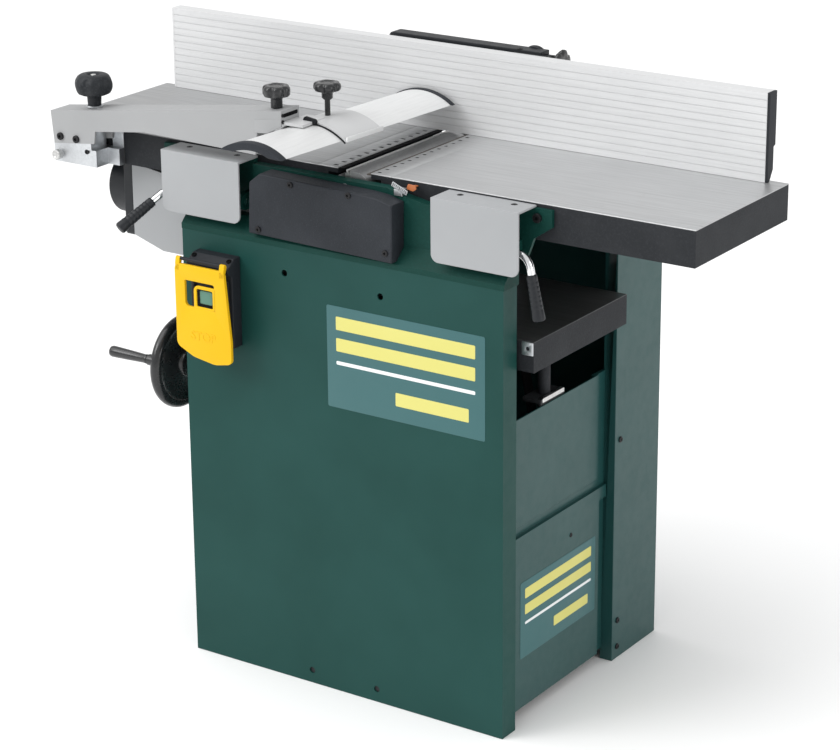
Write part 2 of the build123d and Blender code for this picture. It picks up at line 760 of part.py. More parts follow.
carriage_x = (fence_base_x[0] + 5, fence_base_x[1] - 5)
carriage_bottom = table_top + slide_gap
carriage_rear = fence_base_y[1]
nose_y = fence_hinge_y - 5
nose_top = carriage_bottom + 3.2
carriage_top = 800.0
moving_knuckles = (fence_bracket_x[0] + 2, fence_bracket_x[0] + 2 + 2 * knuckle_width + 4)
carriage_profile = [
    (nose_y, carriage_bottom),
    (carriage_rear, carriage_bottom),
    (carriage_rear, carriage_top),
    (fence_hinge_y + 29, carriage_top),
    (fence_hinge_y + 14, nose_top),
    (nose_y, nose_top),
]
with BuildPart() as fence_carriage:
    plate_yz(carriage_profile, carriage_x)
    key = (key_x[0] + slide_gap, key_x[1] - slide_gap)
    key_y = (fence_base_y[0] + fence_travel + 2, carriage_rear)
    block(key, key_y, (table_top - key_height, carriage_bottom))
    for start in moving_knuckles:
        seat = (start + knuckle_width + 2, start + 2 * knuckle_width + 2)
        block(seat, (fence_hinge_y - 3, fence_hinge_y + 3), (carriage_bottom, fence_hinge_z))
        rod((seat[0], fence_hinge_y, fence_hinge_z), (1, 0, 0), knuckle_radius, knuckle_width)
    pin_end = moving_knuckles[1] + 2 * knuckle_width + 2
    start = (moving_knuckles[0], fence_hinge_y, fence_hinge_z)
    rod(start, (1, 0, 0), knuckle_pin, pin_end - moving_knuckles[0])
fence_carriage.part.label = "fence_carriage"
export_step(fence_carriage.part, "parts/fence_carriage.step")

lock_y = carriage_rear - 55
lock_x = carriage_x[0] + 25
with BuildPart() as fence_lock_lever:
    rod((lock_x, lock_y, carriage_top + slide_gap), (0, 0, 1), 11, 16)
    root = Vector(lock_x, lock_y, carriage_top + slide_gap + 9)
    reach = Vector(-0.75, 0.6, 0.28).normalized()
    rod(root, reach, 5, 45)
    with Locations(root + reach * 45):
        Sphere(9)
fence_lock_lever.part.label = "fence_lock_lever"
export_step(fence_lock_lever.part, "parts/fence_lock_lever.step")

step_z = fence_bottom + fence_height * fence_step
fence_rear = fence_face + fence_top_depth
fence_low_rear = fence_face + fence_low_depth
fence_profile = [
    (fence_face, fence_bottom),
    (fence_face + fence_flat, fence_bottom),
    (fence_low_rear, fence_bottom + fence_chamfer),
    (fence_low_rear, step_z),
    (fence_rear, step_z + 2),
    (fence_rear, fence_top),
    (fence_face, fence_top),
]
groove_pitch = fence_height / (groove_count + 1)
with BuildPart() as fence:
    with BuildSketch(Plane.YZ.offset(fence_x[0] + end_cap)):
        with BuildLine():
            Polyline(*fence_profile, close=True)
        make_face()
        offset(amount=-fence_wall, mode=Mode.SUBTRACT)
        with Locations((fence_face, (fence_bottom + fence_top) / 2)):
            with GridLocations(1, groove_pitch, 1, groove_count):
                Rectangle(2 * groove_depth, groove_height, mode=Mode.SUBTRACT)
    extrude(amount=fence_x[1] - fence_x[0] - 2 * end_cap)
fence.part.label = "fence"
export_step(fence.part, "parts/fence.step")

with BuildPart() as fence_end_caps:
    plate_yz(fence_profile, (fence_x[0], fence_x[0] + end_cap))
    plate_yz(fence_profile, (fence_x[1] - end_cap, fence_x[1]))
fence_end_caps.part.label = "fence_end_caps"
export_step(fence_end_caps.part, "parts/fence_end_caps.step")

bracket_depth = 6.3
with BuildPart() as fence_bracket:
    block(fence_bracket_x, (fence_rear, fence_rear + bracket_depth), (step_z + 2, fence_top))
    profile = [
        (fence_low_rear, fence_hinge_z + 12),
        (fence_rear + bracket_depth, fence_hinge_z + 12),
        (fence_rear + bracket_depth, fence_top),
        (fence_rear, fence_top),
        (fence_rear, step_z + 2),
        (fence_low_rear, step_z),
    ]
    plate_yz(profile, fence_bracket_x)
    for start in moving_knuckles:
        seat = (start, start + knuckle_width)
        foot = (fence_low_rear, fence_rear + 2)
        block(seat, foot, (fence_hinge_z, fence_hinge_z + 12))
        centre = (start, fence_hinge_y, fence_hinge_z)
        rod(centre, (1, 0, 0), knuckle_radius, knuckle_width)
        rod(centre, (1, 0, 0), knuckle_pin + running_fit, knuckle_width, mode=Mode.SUBTRACT)
    ear_y = fence_rear + bracket_depth + 16
    ear_z = fence_top - 14
    ear = (fence_bracket_x[1] - 10, fence_bracket_x[1])
    block(ear, (fence_rear, ear_y), (ear_z - 12, ear_z + 12))
    rod((ear[0], ear_y, ear_z), (1, 0, 0), 12, 10)
    rod((ear[0], ear_y, ear_z), (1, 0, 0), 4 + running_fit, 10, mode=Mode.SUBTRACT)
fence_bracket.part.label = "fence_bracket"
export_step(fence_bracket.part, "parts/fence_bracket.step")

with BuildPart() as tilt_knob:
    lobed_knob((ear[1] + slide_gap, ear_y, ear_z), (1, 0, 0), 22, 18, 9, (4, 10 + slide_gap))
tilt_knob.part.label = "tilt_knob"
export_step(tilt_knob.part, "parts/tilt_knob.step")

rear_guard_y = (fence_rear + bracket_depth, fence_rear + bracket_depth + 22)
with BuildPart() as rear_guard:
    block((-125, ear[0] - free_gap), rear_guard_y, (fence_top - 15, fence_top + 4))
    fillet(rear_guard.edges().filter_by(Axis.Y).group_by(Axis.X)[0], 8)
rear_guard.part.label = "rear_guard"
export_step(rear_guard.part, "parts/rear_guard.step")

# ================= Bridge guard =================


def arm_line(x):
    """Height of the arm's top over a value of X."""
    return arm_butt_z + arm_slope * (x - arm_butt_x)


arm_outline = [
    (arm_butt_x, arm_butt_z),
    (arm_tip_x, arm_line(arm_tip_x)),
    (arm_tip_x, guard_low + guard_rise + 2),
    (arm_step_x, guard_low + guard_rise + 2),
    *((x, table_top + z) for x, z in arm_underside),
]
arm_lean = sqrt(1 + arm_slope**2)
knob_y = (arm_y[0] + arm_y[1]) / 2
height_neck = 10.0
clamp_neck = 8.0
height_base = (height_knob_x, knob_y, arm_line(height_knob_x + height_neck) + slide_gap)
clamp_base = (clamp_knob_x, knob_y, arm_line(clamp_knob_x + clamp_neck) + slide_gap)
height_stud = 5.0
clamp_stud = 4.0
knob_reach = arm_sheet + 3      # studs pass the sloping top plate
holder_top = guard_low + guard_rise + slide_gap + holder_wall
tongue_z = (holder_top - 3, holder_top + 1)


def stud_hole(base, radius, depth):
    """The hole for a knob's stud, through what lies under the knob."""
    start = (base[0], base[1], base[2] - depth)
    rod(start, (0, 0, 1), radius + running_fit, 2 * depth, mode=Mode.SUBTRACT)


with BuildPart() as guard_arm:
    plate_xz(arm_outline, arm_y)
    hollow = [(arm_butt_x - 20, arm_line(arm_butt_x - 20)), (arm_tip_x + 20, arm_line(arm_tip_x + 20))]
    hollow = [(x, z - arm_sheet * arm_lean) for x, z in hollow]
    hollow += [(arm_tip_x + 20, table_bottom - 35), (arm_butt_x - 20, table_bottom - 35)]
    plate_xz(hollow, (arm_y[0] + arm_sheet, arm_y[1] - arm_sheet), mode=Mode.SUBTRACT)
    pin_start = (arm_pivot_x, arm_y[0] - 1, arm_pivot_z)
    rod(pin_start, (0, 1, 0), arm_pin, arm_y[1] - arm_y[0] + 1)
    tip = (arm_tip_x - arm_sheet, arm_tip_x)
    block(tip, arm_y, (tongue_z[1] + slide_gap, arm_line(tip[0]) - slide_gap))
    stud_hole(height_base, height_stud, 12)
    stud_hole(clamp_base, clamp_stud, 12)
guard_arm.part.label = "guard_arm"
export_step(guard_arm.part, "parts/guard_arm.step")

inner_y = (arm_y[0] + arm_sheet + free_gap, arm_y[1] - arm_sheet - free_gap)
with BuildPart() as guard_bracket:
    block((arm_butt_x, bracket_ear), (arm_y[0] + 5, table_front), (table_bottom, bracket_shelf))
    block((arm_butt_x, bracket_end), (arm_y[1] - 10, table_front), (table_bottom, bracket_shelf))
    block((arm_butt_x + 1, bracket_neck), inner_y, (bracket_shelf, bracket_neck_top))
    block((bracket_ear, bracket_end), (arm_y[1] + 0.8, table_front), (bracket_shelf, bracket_ear_top))
    start = (arm_pivot_x, inner_y[0], arm_pivot_z)
    rod(start, (0, 1, 0), arm_pin + running_fit, inner_y[1] - inner_y[0], mode=Mode.SUBTRACT)
    rod((arm_butt_x + 10.4, arm_y[0] + 5, table_bottom + 12), (0, -1, 0), 7, 10)
guard_bracket.part.label = "guard_bracket"
export_step(guard_bracket.part, "parts/guard_bracket.step")

with BuildPart() as arm_height_knob:
    lobed_knob(height_base, (0, 0, 1), 27, 44, height_neck, (height_stud, knob_reach))
arm_height_knob.part.label = "arm_height_knob"
export_step(arm_height_knob.part, "parts/arm_height_knob.step")

with BuildPart() as arm_clamp_knob:
    lobed_knob(clamp_base, (0, 0, 1), 20, 32, clamp_neck, (clamp_stud, knob_reach))
arm_clamp_knob.part.label = "arm_clamp_knob"
export_step(arm_clamp_knob.part, "parts/arm_clamp_knob.step")

guard_along = Vector(sin(radians(guard_angle)), cos(radians(guard_angle)), 0)
guard_plane = Plane(
    origin=(guard_mid_x, guard_mid_y, guard_low),
    x_dir=guard_along.cross(Vector(0, 0, 1)),
    z_dir=-guard_along,
)
guard_radius = ((guard_width / 2) ** 2 + guard_rise**2) / (2 * guard_rise)


def crown(radius, thickness, start, end):
    """A curved plate about the guard's centre line, between two stations along it."""
    with BuildSketch(guard_plane.offset(-end)) as outline:
        with Locations((0, guard_rise - guard_radius)):
            Circle(radius)
            Circle(radius - thickness, mode=Mode.SUBTRACT)
        with Locations((0, -2 * radius)):
            Rectangle(4 * radius, 4 * radius, mode=Mode.SUBTRACT)
    extrude(outline.sketch, amount=end - start)


with BuildPart() as guard_cover:
    crown(guard_radius, guard_wall, guard_near, guard_far)
guard_cover.part.label = "guard_cover"
export_step(guard_cover.part, "parts/guard_cover.step")

with BuildPart() as guard_end_caps:
    cap_radius = guard_radius + guard_cap_lip
    crown(cap_radius, guard_cap_wall, guard_near - guard_cap_near, guard_near)
    crown(cap_radius, guard_cap_wall, guard_far, guard_far + guard_cap)
guard_end_caps.part.label = "guard_end_caps"
export_step(guard_end_caps.part, "parts/guard_end_caps.step")

with BuildPart() as guard_holder:
    crown(guard_radius + slide_gap + holder_wall, holder_wall, -holder_half, holder_half)
    block((arm_step_x, guard_mid_x), inner_y, tongue_z)
    block((arm_tip_x + 2, guard_mid_x), (inner_y[0], guard_mid_y - 15), tongue_z)
    post_top = arm_line(clamp_knob_x - 9) - arm_sheet * arm_lean
    rod((clamp_knob_x, knob_y, tongue_z[0]), (0, 0, 1), 9, post_top - tongue_z[0])
    stud_hole(clamp_base, clamp_stud, 18)
    start = (guard_knob_x, guard_mid_y, guard_low)
    rod(start, (0, 0, 1), clamp_stud + running_fit, 60, mode=Mode.SUBTRACT)
guard_holder.part.label = "guard_holder"
export_step(guard_holder.part, "parts/guard_holder.step")

with BuildPart() as guard_clamp_knob:
    base = (guard_knob_x, guard_mid_y, holder_top + guard_knob_lift)
    lobed_knob(base, (0, 0, 1), 20, 26, 8, (clamp_stud, holder_wall + guard_knob_lift - 1))
guard_clamp_knob.part.label = "guard_clamp_knob"
export_step(guard_clamp_knob.part, "parts/guard_clamp_knob.step")

# ================= Switch =================

flap_pin = (flap_y[0] + 5.0, flap_z[1] + 7)
flap_outline = [
    (flap_x[0], flap_z[1]),
    (flap_x[0], flap_z[0] + 20),
    (flap_x[0] + 30, flap_z[0] + 6),
    (flap_x[1] - 30, flap_z[0]),
    (flap_x[1], flap_z[0] + 6),
    (flap_x[1], flap_z[0] + 40),
    (flap_x[1] - 10, flap_z[1]),
]
flap_pin_radius = 2.0
flap_knuckle = 5.0
knuckle_starts = (flap_x[0] + 18, flap_x[1] - 28)
box_ear_starts = (knuckle_starts[0] + 11, knuckle_starts[1] - 11)
button_travel = 3.0
button_reach = 4.0
button_depth = 9.0
stop_radius = 13.0

with BuildPart() as switch_box:
    block(switch_x, (switch_front, stand_front), switch_z)
    fillet(switch_box.edges().filter_by(Axis.Y), 6)
    for x, z, radius in ((start_x, start_z, button_radius), (stop_x, stop_z, stop_radius)):
        depth = button_depth + button_travel + 1
        start = (x, switch_front, z)
        rod(start, (0, 1, 0), radius + slide_gap, depth, mode=Mode.SUBTRACT)
    for start in box_ear_starts:
        ear = (start, start + 10)
        block(ear, (flap_pin[0], switch_front), (flap_pin[1] - 5, flap_pin[1] + 5))
        rod((start, *flap_pin), (1, 0, 0), flap_knuckle, 10)
    pin_length = knuckle_starts[1] + 10 - knuckle_starts[0]
    rod((knuckle_starts[0], *flap_pin), (1, 0, 0), flap_pin_radius, pin_length)
switch_box.part.label = "switch_box"
export_step(switch_box.part, "parts/switch_box.step")

with BuildPart() as switch_flap:
    with BuildSketch(Plane.XZ.offset(-flap_y[1])) as outline:
        with BuildLine() as edge:
            Polyline(*flap_outline, close=True)
        make_face()
        fillet(outline.vertices().sort_by(Axis.Y)[:4], 12)
        fillet(outline.vertices().group_by(Axis.Y)[-1], 8)
    extrude(amount=flap_y[1] - flap_y[0])
    with BuildSketch(Plane.XZ.offset(-flap_y[1])):
        add(outline.sketch)
        offset(amount=-flap_sheet, mode=Mode.REPLACE)
    extrude(amount=flap_y[1] - flap_y[0] - flap_sheet, mode=Mode.SUBTRACT)
    window = (start_x - 33, start_x + 25)
    block(window, (flap_y[0], flap_y[0] + flap_sheet), (start_z - 15, start_z + 25), mode=Mode.SUBTRACT)
    for start in knuckle_starts:
        knuckle = (start, start + 10)
        block(knuckle, (flap_y[0], flap_pin[0] + 5), (flap_z[1] - flap_sheet, flap_pin[1]))
        rod((start, *flap_pin), (1, 0, 0), flap_knuckle, 10)
        rod((start, *flap_pin), (1, 0, 0), flap_pin_radius + running_fit, 10, mode=Mode.SUBTRACT)
switch_flap.part.label = "switch_flap"
export_step(switch_flap.part, "parts/switch_flap.step")

with BuildPart() as start_button:
    front = (start_x, switch_front - button_reach, start_z)
    rod(front, (0, 1, 0), button_radius, button_reach + button_depth)
start_button.part.label = "start_button"
export_step(start_button.part, "parts/start_button.step")

with BuildPart() as stop_button:
    front = (stop_x, switch_front - button_reach, stop_z)
    rod(front, (0, 1, 0), stop_radius, button_reach + button_depth)
stop_button.part.label = "stop_button"
export_step(stop_button.part, "parts/stop_button.step")

# ================= Cutterblock, rollers and drive =================

block_y = (table_mid - cutter_length / 2, table_mid + cutter_length / 2)
shaft_front = front_cheek_y[0] - 8
slot_depth = 11.0

with BuildPart() as cutterblock:
    rod((0, block_y[0], cutter_z), (0, 1, 0), block_radius, cutter_length)
    with BuildSketch(Plane.XZ.offset(-block_y[1])):
        with Locations((0, cutter_z)):
            with PolarLocations(block_radius - slot_depth / 2, knife_count, start_angle=knife_angle):
                Rectangle(slot_depth + 2, knife_width + 6)
            with PolarLocations(block_radius, knife_count, start_angle=knife_angle + gullet_lag):
                Circle(gullet_radius)
    extrude(amount=cutter_length, mode=Mode.SUBTRACT)
    shaft_length = pulley_y[1] + 6 - shaft_front
    rod((0, shaft_front, cutter_z), (0, 1, 0), journal_radius, shaft_length)
cutterblock.part.label = "cutterblock"
export_step(cutterblock.part, "parts/cutterblock.step")

with BuildPart() as cutter_knives:
    with BuildSketch(Plane.XZ.offset(-block_y[1])):
        with Locations((0, cutter_z)):
            knife = cutter_radius - block_radius + slot_depth
            with PolarLocations(cutter_radius - knife / 2 - 0.2, knife_count, start_angle=knife_angle):
                Rectangle(knife, knife_width)
            with PolarLocations(block_radius - slot_depth / 2 - 1.5, knife_count, start_angle=knife_angle):
                Rectangle(slot_depth - 3, knife_width + 6)
    extrude(amount=cutter_length)
cutter_knives.part.label = "cutter_knives"
export_step(cutter_knives.part, "parts/cutter_knives.step")

with BuildPart() as cutter_pulley:
    rod((0, pulley_y[0], cutter_z), (0, 1, 0), cutter_pulley_radius, pulley_y[1] - pulley_y[0])
    width = pulley_y[1] - pulley_y[0]
    rod((0, pulley_y[0], cutter_z), (0, 1, 0), journal_radius, width, mode=Mode.SUBTRACT)
cutter_pulley.part.label = "cutter_pulley"
export_step(cutter_pulley.part, "parts/cutter_pulley.step")


def feed_roller(x, grooves):
    """A feed roller with its journals, grooved along its length where it grips rough stock."""
    rod((x, block_y[0], roller_z), (0, 1, 0), roller_radius, cutter_length)
    if grooves:
        with BuildSketch(Plane.XZ.offset(-block_y[1])) as teeth:
            with Locations((x, roller_z)):
                with PolarLocations(roller_radius, grooves):
                    Circle(0.9)
        extrude(teeth.sketch, amount=cutter_length, mode=Mode.SUBTRACT)
    length = rear_cheek_y[1] - front_cheek_y[0] - 1
    rod((x, front_cheek_y[0] + 0.5, roller_z), (0, 1, 0), roller_journal, length)


with BuildPart() as infeed_roller:
    feed_roller(-roller_x, 16)
infeed_roller.part.label = "infeed_roller"
export_step(infeed_roller.part, "parts/infeed_roller.step")

with BuildPart() as outfeed_roller:
    feed_roller(roller_x, 0)
outfeed_roller.part.label = "outfeed_roller"
export_step(outfeed_roller.part, "parts/outfeed_roller.step")

with BuildPart() as motor:
    rod((motor_x, motor_y[0], motor_z), (0, 1, 0), motor_radius, motor_y[1] - motor_y[0])
    fillet(motor.edges().filter_by(GeomType.CIRCLE), 8)
    foot = (motor_x - 70, motor_x + 70)
    foot_y = (motor_y[0] + 60, motor_y[1] - 60)
    block(foot, foot_y, (base_bar_height, base_bar_height + 12))
    block((motor_x - 45, motor_x + 45), foot_y, (base_bar_height, motor_z - 40))
    block((motor_x - 45, motor_x + 35), (motor_y[0] + 70, motor_y[1] - 70), (motor_z + 40, motor_z + 92))
    start = (motor_x, motor_y[1] - 20, motor_z)
    rod(start, (0, 1, 0), motor_shaft + running_fit, 20, mode=Mode.SUBTRACT)
motor.part.label = "motor"
export_step(motor.part, "parts/motor.step")

with BuildPart() as motor_pulley:
    rod((motor_x, pulley_y[0], motor_z), (0, 1, 0), motor_pulley_radius, pulley_y[1] - pulley_y[0])
    start = (motor_x, motor_y[1] - 19, motor_z)
    rod(start, (0, 1, 0), motor_shaft, pulley_y[1] + 4 - start[1])
motor_pulley.part.label = "motor_pulley"
export_step(motor_pulley.part, "parts/motor_pulley.step")

belt_y = ((pulley_y[0] + pulley_y[1] - belt_width) / 2, (pulley_y[0] + pulley_y[1] + belt_width) / 2)
with BuildPart() as drive_belt:
    for inset, mode in ((0, Mode.ADD), (belt_thickness, Mode.SUBTRACT)):
        with BuildSketch(Plane.XZ.offset(-belt_y[1])) as loop:
            reach = slide_gap + belt_thickness - inset
            with Locations((0, cutter_z)):
                Circle(cutter_pulley_radius + reach)
            with Locations((motor_x, motor_z)):
                Circle(motor_pulley_radius + reach)
            make_hull()
        extrude(loop.sketch, amount=belt_width, mode=mode)
drive_belt.part.label = "drive_belt"
export_step(drive_belt.part, "parts/drive_belt.step")

with BuildPart() as cable_gland:
    inside = stand_rear - sheet - 8
    rod((gland_x, inside, gland_z), (0, 1, 0), gland_radius, 8 + sheet)
    rod((gland_x, stand_rear, gland_z), (0, 1, 0), gland_radius + 4, 6)
    rod((gland_x, stand_rear + 6, gland_z), (0, 1, 0), gland_radius, 10)
    rod((gland_x, inside, gland_z), (0, 1, 0), gland_radius / 2, 30, mode=Mode.SUBTRACT)
cable_gland.part.label = "cable_gland"
export_step(cable_gland.part, "parts/cable_gland.step")

# ================= Thicknessing table and lift =================

rail_inner = inner_half - 6.5
with BuildPart() as cross_member:
    member_y = (table_mid - 40, table_mid + 40)
    block((-rail_inner, rail_inner), member_y, member_z)
    sleeve_radius = column_radius + sleeve_wall
    rod((0, table_mid, sleeve_z[0]), (0, 0, 1), sleeve_radius, sleeve_z[1] - sleeve_z[0])
    bore = column_radius + running_fit
    rod((0, table_mid, sleeve_z[0]), (0, 0, 1), bore, sleeve_z[1] - sleeve_z[0], mode=Mode.SUBTRACT)
cross_member.part.label = "cross_member"
export_step(cross_member.part, "parts/cross_member.step")

bearing_plate = (372.0, 384.0)
bracket_x = (screw_x - 65, screw_x + 40)
upright_x = (bracket_x[0], bracket_x[0] + 12)
bracket_reach = screw_y + 30
post_plate_z = (panel_top + 2, panel_top + 8)
with BuildPart() as lift_brackets:
    block(bracket_x, (front_inner, bracket_reach), bearing_plate)
    block(bracket_x, (front_inner, front_inner + 8), (bearing_plate[0], panel_top + 8))
    block(upright_x, (front_inner, bracket_reach), (bearing_plate[0], panel_top + 8))
    start = (screw_x, screw_y, bearing_plate[0])
    rod(start, (0, 0, 1), screw_radius + running_fit, 12, mode=Mode.SUBTRACT)
    start = (upright_x[0], screw_y, wheel_z)
    rod(start, (1, 0, 0), screw_radius + running_fit, 12, mode=Mode.SUBTRACT)
    for side in (-1, 1):
        plate = sorted((side * (post_x - 16), side * inner_half))
        block(plate, (post_y - 32, post_y + 32), post_plate_z)
        fold = sorted((side * (inner_half - 4), side * inner_half))
        block(fold, (post_y - 32, post_y + 32), (panel_top - 30, post_plate_z[1]))
        start = (side * post_x, post_y, post_plate_z[0])
        rod(start, (0, 0, 1), post_radius + slide_gap, 6, mode=Mode.SUBTRACT)
lift_brackets.part.label = "lift_brackets"
export_step(lift_brackets.part, "parts/lift_brackets.step")

bevel_tip = gear_reach - gear_face
with BuildPart() as lift_screw:
    rod((screw_x, screw_y, bearing_plate[0] - 4), (0, 0, 1), screw_radius, screw_top - bearing_plate[0] + 4)
    hub_bottom = bearing_plate[1] + slide_gap
    hub_top = wheel_z - gear_reach
    rod((screw_x, screw_y, hub_bottom), (0, 0, 1), gear_reach - 5, hub_top - hub_bottom)
    with Locations((screw_x, screw_y, hub_top)):
        low = (Align.CENTER, Align.CENTER, Align.MIN)
        Cone(gear_reach - gear_gap, bevel_tip - gear_gap, gear_face, align=low)
lift_screw.part.label = "lift_screw"
export_step(lift_screw.part, "parts/lift_screw.step")

crank_length = 73.0         # of the grip
crank_angle = 165.0         # degrees round the wheel from +Y
wheel_mid = wheel_radius - wheel_rim
wheel_hub = (wheel_x - 16, wheel_x + 16)
hub_radius = 18.0
web_half = 3.0
crank_y = screw_y + wheel_mid * cos(radians(crank_angle))
crank_z = wheel_z + wheel_mid * sin(radians(crank_angle))
with BuildPart() as handwheel:
    with BuildSketch(Plane.XY.offset(wheel_z)):
        with Locations((wheel_x, screw_y + wheel_mid)):
            RegularPolygon(wheel_rim, 12)
        with Locations((wheel_x, screw_y + (wheel_mid + screw_radius) / 2)):
            Rectangle(2 * web_half, wheel_mid - screw_radius)
        with Locations((wheel_x, screw_y + (hub_radius + screw_radius) / 2)):
            Rectangle(wheel_hub[1] - wheel_hub[0], hub_radius - screw_radius)
    revolve(axis=Axis((wheel_x, screw_y, wheel_z), (1, 0, 0)))
    rod((wheel_x, crank_y, crank_z), (-1, 0, 0), 8.5, 14)
    rod((wheel_x, crank_y, crank_z), (-1, 0, 0), 4, crank_length + 8)
handwheel.part.label = "handwheel"
export_step(handwheel.part, "parts/handwheel.step")

with BuildPart() as handwheel_shaft:
    back = screw_x - gear_reach
    rod((wheel_hub[0], screw_y, wheel_z), (1, 0, 0), screw_radius, back - wheel_hub[0])
    collar = upright_x[1] + slide_gap
    rod((collar, screw_y, wheel_z), (1, 0, 0), 14, back - collar)
    with Locations(Plane(origin=(back, screw_y, wheel_z), z_dir=(1, 0, 0))):
        low = (Align.CENTER, Align.CENTER, Align.MIN)
        Cone(gear_reach - gear_gap, bevel_tip - gear_gap, gear_face, align=low)
handwheel_shaft.part.label = "handwheel_shaft"
export_step(handwheel_shaft.part, "parts/handwheel_shaft.step")

grip_x = wheel_x - 14 - slide_gap
with BuildPart() as crank_grip:
    with Locations(Plane(origin=(grip_x, crank_y, crank_z), z_dir=(-1, 0, 0))):
        Cone(7, 8.6, crank_length, align=(Align.CENTER, Align.CENTER, Align.MIN))
    fillet(crank_grip.edges().filter_by(GeomType.CIRCLE), 2.5)
    rod((grip_x, crank_y, crank_z), (-1, 0, 0), 4 + running_fit, crank_length - 4, mode=Mode.SUBTRACT)
crank_grip.part.label = "crank_grip"
export_step(crank_grip.part, "parts/crank_grip.step")

bed_bottom = bed_top - bed_thickness
nut_bottom = bed_bottom - 43
nut_radius = 13.5           # passes inside the end of the handwheel's bevel
with BuildPart() as thickness_table:
    block((-bed_half, bed_half), bed_y, (bed_bottom, bed_top))
    rod((screw_x, screw_y, nut_bottom), (0, 0, 1), nut_radius, bed_bottom - nut_bottom)
    bore = screw_radius + running_fit
    rod((screw_x, screw_y, nut_bottom), (0, 0, 1), bore, bed_top - 4 - nut_bottom, mode=Mode.SUBTRACT)
    rod((0, table_mid, column_bottom), (0, 0, 1), column_radius, bed_bottom - column_bottom)
    for side in (-1, 1):
        rod((side * post_x, post_y, bed_bottom), (0, 0, -1), post_radius, 95)
thickness_table.part.label = "thickness_table"
export_step(thickness_table.part, "parts/thickness_table.step")

# ================= Dust hood =================


def hood_shape(inset, mode):
    """The hood's duct and mouth, or with an inset the hollow inside them."""
    y = (hood_y[0] + inset, hood_y[1] - inset)
    z = (hood_z[0] + inset, hood_z[1] - inset)
    block((hood_x[0], hood_mouth_x - inset), y, z, mode=mode)
    mouth_floor = (hood_z[0] + inset, hood_mouth_top - inset)
    block((hood_mouth_x - 2 * inset, hood_x[1] - inset), y, mouth_floor, mode=mode)
    half = port_plate / 2 - inset
    narrow_z = (port_plate_z[0] + 2 + inset, port_plate_z[1] - 2 - inset)
    with BuildSketch(Plane.YZ.offset(hood_x[0])) as wide:
        with Locations((sum(y) / 2, sum(z) / 2)):
            Rectangle(y[1] - y[0], z[1] - z[0])
    with BuildSketch(Plane.YZ.offset(hood_end)) as narrow:
        with Locations((port_y, sum(narrow_z) / 2)):
            Rectangle(2 * half, narrow_z[1] - narrow_z[0])
    loft([wide.sketch, narrow.sketch], mode=mode)


mouth = (hood_mouth_x + 6, hood_x[1] - 6)
with BuildPart() as dust_hood:
    hood_shape(0, Mode.ADD)
    hood_shape(hood_wall, Mode.SUBTRACT)
    block(mouth, (hood_y[0] + 6, hood_y[1] - 6), (hood_mouth_top - 5, hood_mouth_top), mode=Mode.SUBTRACT)
    block((-30, 30), (front_cheek_y[1], hood_y[0] + hood_wall), (casting_base + 4, cheek_low - 4))
    block((-30, 30), (hood_y[1] - hood_wall, rear_cheek_y[0]), (casting_base + 4, cheek_low - 4))
dust_hood.part.label = "dust_hood"
export_step(dust_hood.part, "parts/dust_hood.step")

with BuildPart() as dust_port:
    half = port_plate / 2
    plate = (hood_end - port_flange, hood_end)
    block(plate, (port_y - half, port_y + half), port_plate_z)
    fillet(dust_port.edges().filter_by(Axis.X), 6)
    start = (plate[0], port_y, port_z)
    rod(start, (-1, 0, 0), port_radius, port_length)
    bore_length = port_length + port_flange
    rod((hood_end, port_y, port_z), (-1, 0, 0), port_radius - port_wall, bore_length, mode=Mode.SUBTRACT)
dust_port.part.label = "dust_port"
export_step(dust_port.part, "parts/dust_port.step")
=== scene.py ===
import json
import math

import bmesh
import bpy
from mathutils import Matrix, Vector

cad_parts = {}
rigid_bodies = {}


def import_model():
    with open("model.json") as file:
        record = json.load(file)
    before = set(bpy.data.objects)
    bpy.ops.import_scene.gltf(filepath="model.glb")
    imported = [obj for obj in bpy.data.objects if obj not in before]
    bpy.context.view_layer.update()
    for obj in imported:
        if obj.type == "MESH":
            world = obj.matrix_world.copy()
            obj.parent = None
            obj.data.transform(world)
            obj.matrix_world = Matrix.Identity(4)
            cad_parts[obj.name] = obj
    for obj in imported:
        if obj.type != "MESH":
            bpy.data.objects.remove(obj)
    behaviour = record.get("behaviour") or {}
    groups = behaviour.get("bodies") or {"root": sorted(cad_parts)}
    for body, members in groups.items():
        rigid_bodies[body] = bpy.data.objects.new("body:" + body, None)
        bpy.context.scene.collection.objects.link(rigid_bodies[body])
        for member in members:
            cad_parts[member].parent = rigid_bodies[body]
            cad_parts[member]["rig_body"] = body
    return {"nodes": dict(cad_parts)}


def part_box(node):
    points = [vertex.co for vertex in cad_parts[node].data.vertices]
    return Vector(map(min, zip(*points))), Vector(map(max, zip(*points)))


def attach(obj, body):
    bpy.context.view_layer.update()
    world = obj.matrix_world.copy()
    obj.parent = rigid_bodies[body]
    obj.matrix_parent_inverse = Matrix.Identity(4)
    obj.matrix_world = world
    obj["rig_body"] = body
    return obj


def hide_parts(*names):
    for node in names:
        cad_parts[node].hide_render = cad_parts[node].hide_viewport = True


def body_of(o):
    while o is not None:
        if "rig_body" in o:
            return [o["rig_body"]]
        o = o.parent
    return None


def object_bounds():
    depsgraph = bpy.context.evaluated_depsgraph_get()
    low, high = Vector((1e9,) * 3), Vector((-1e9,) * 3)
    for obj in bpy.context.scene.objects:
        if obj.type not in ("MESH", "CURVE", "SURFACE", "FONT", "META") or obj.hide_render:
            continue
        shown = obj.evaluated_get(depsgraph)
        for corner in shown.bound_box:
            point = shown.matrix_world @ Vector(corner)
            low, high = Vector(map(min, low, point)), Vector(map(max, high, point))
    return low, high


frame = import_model()
cad_low, cad_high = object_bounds()
nodes = frame["nodes"]
MM = 0.001


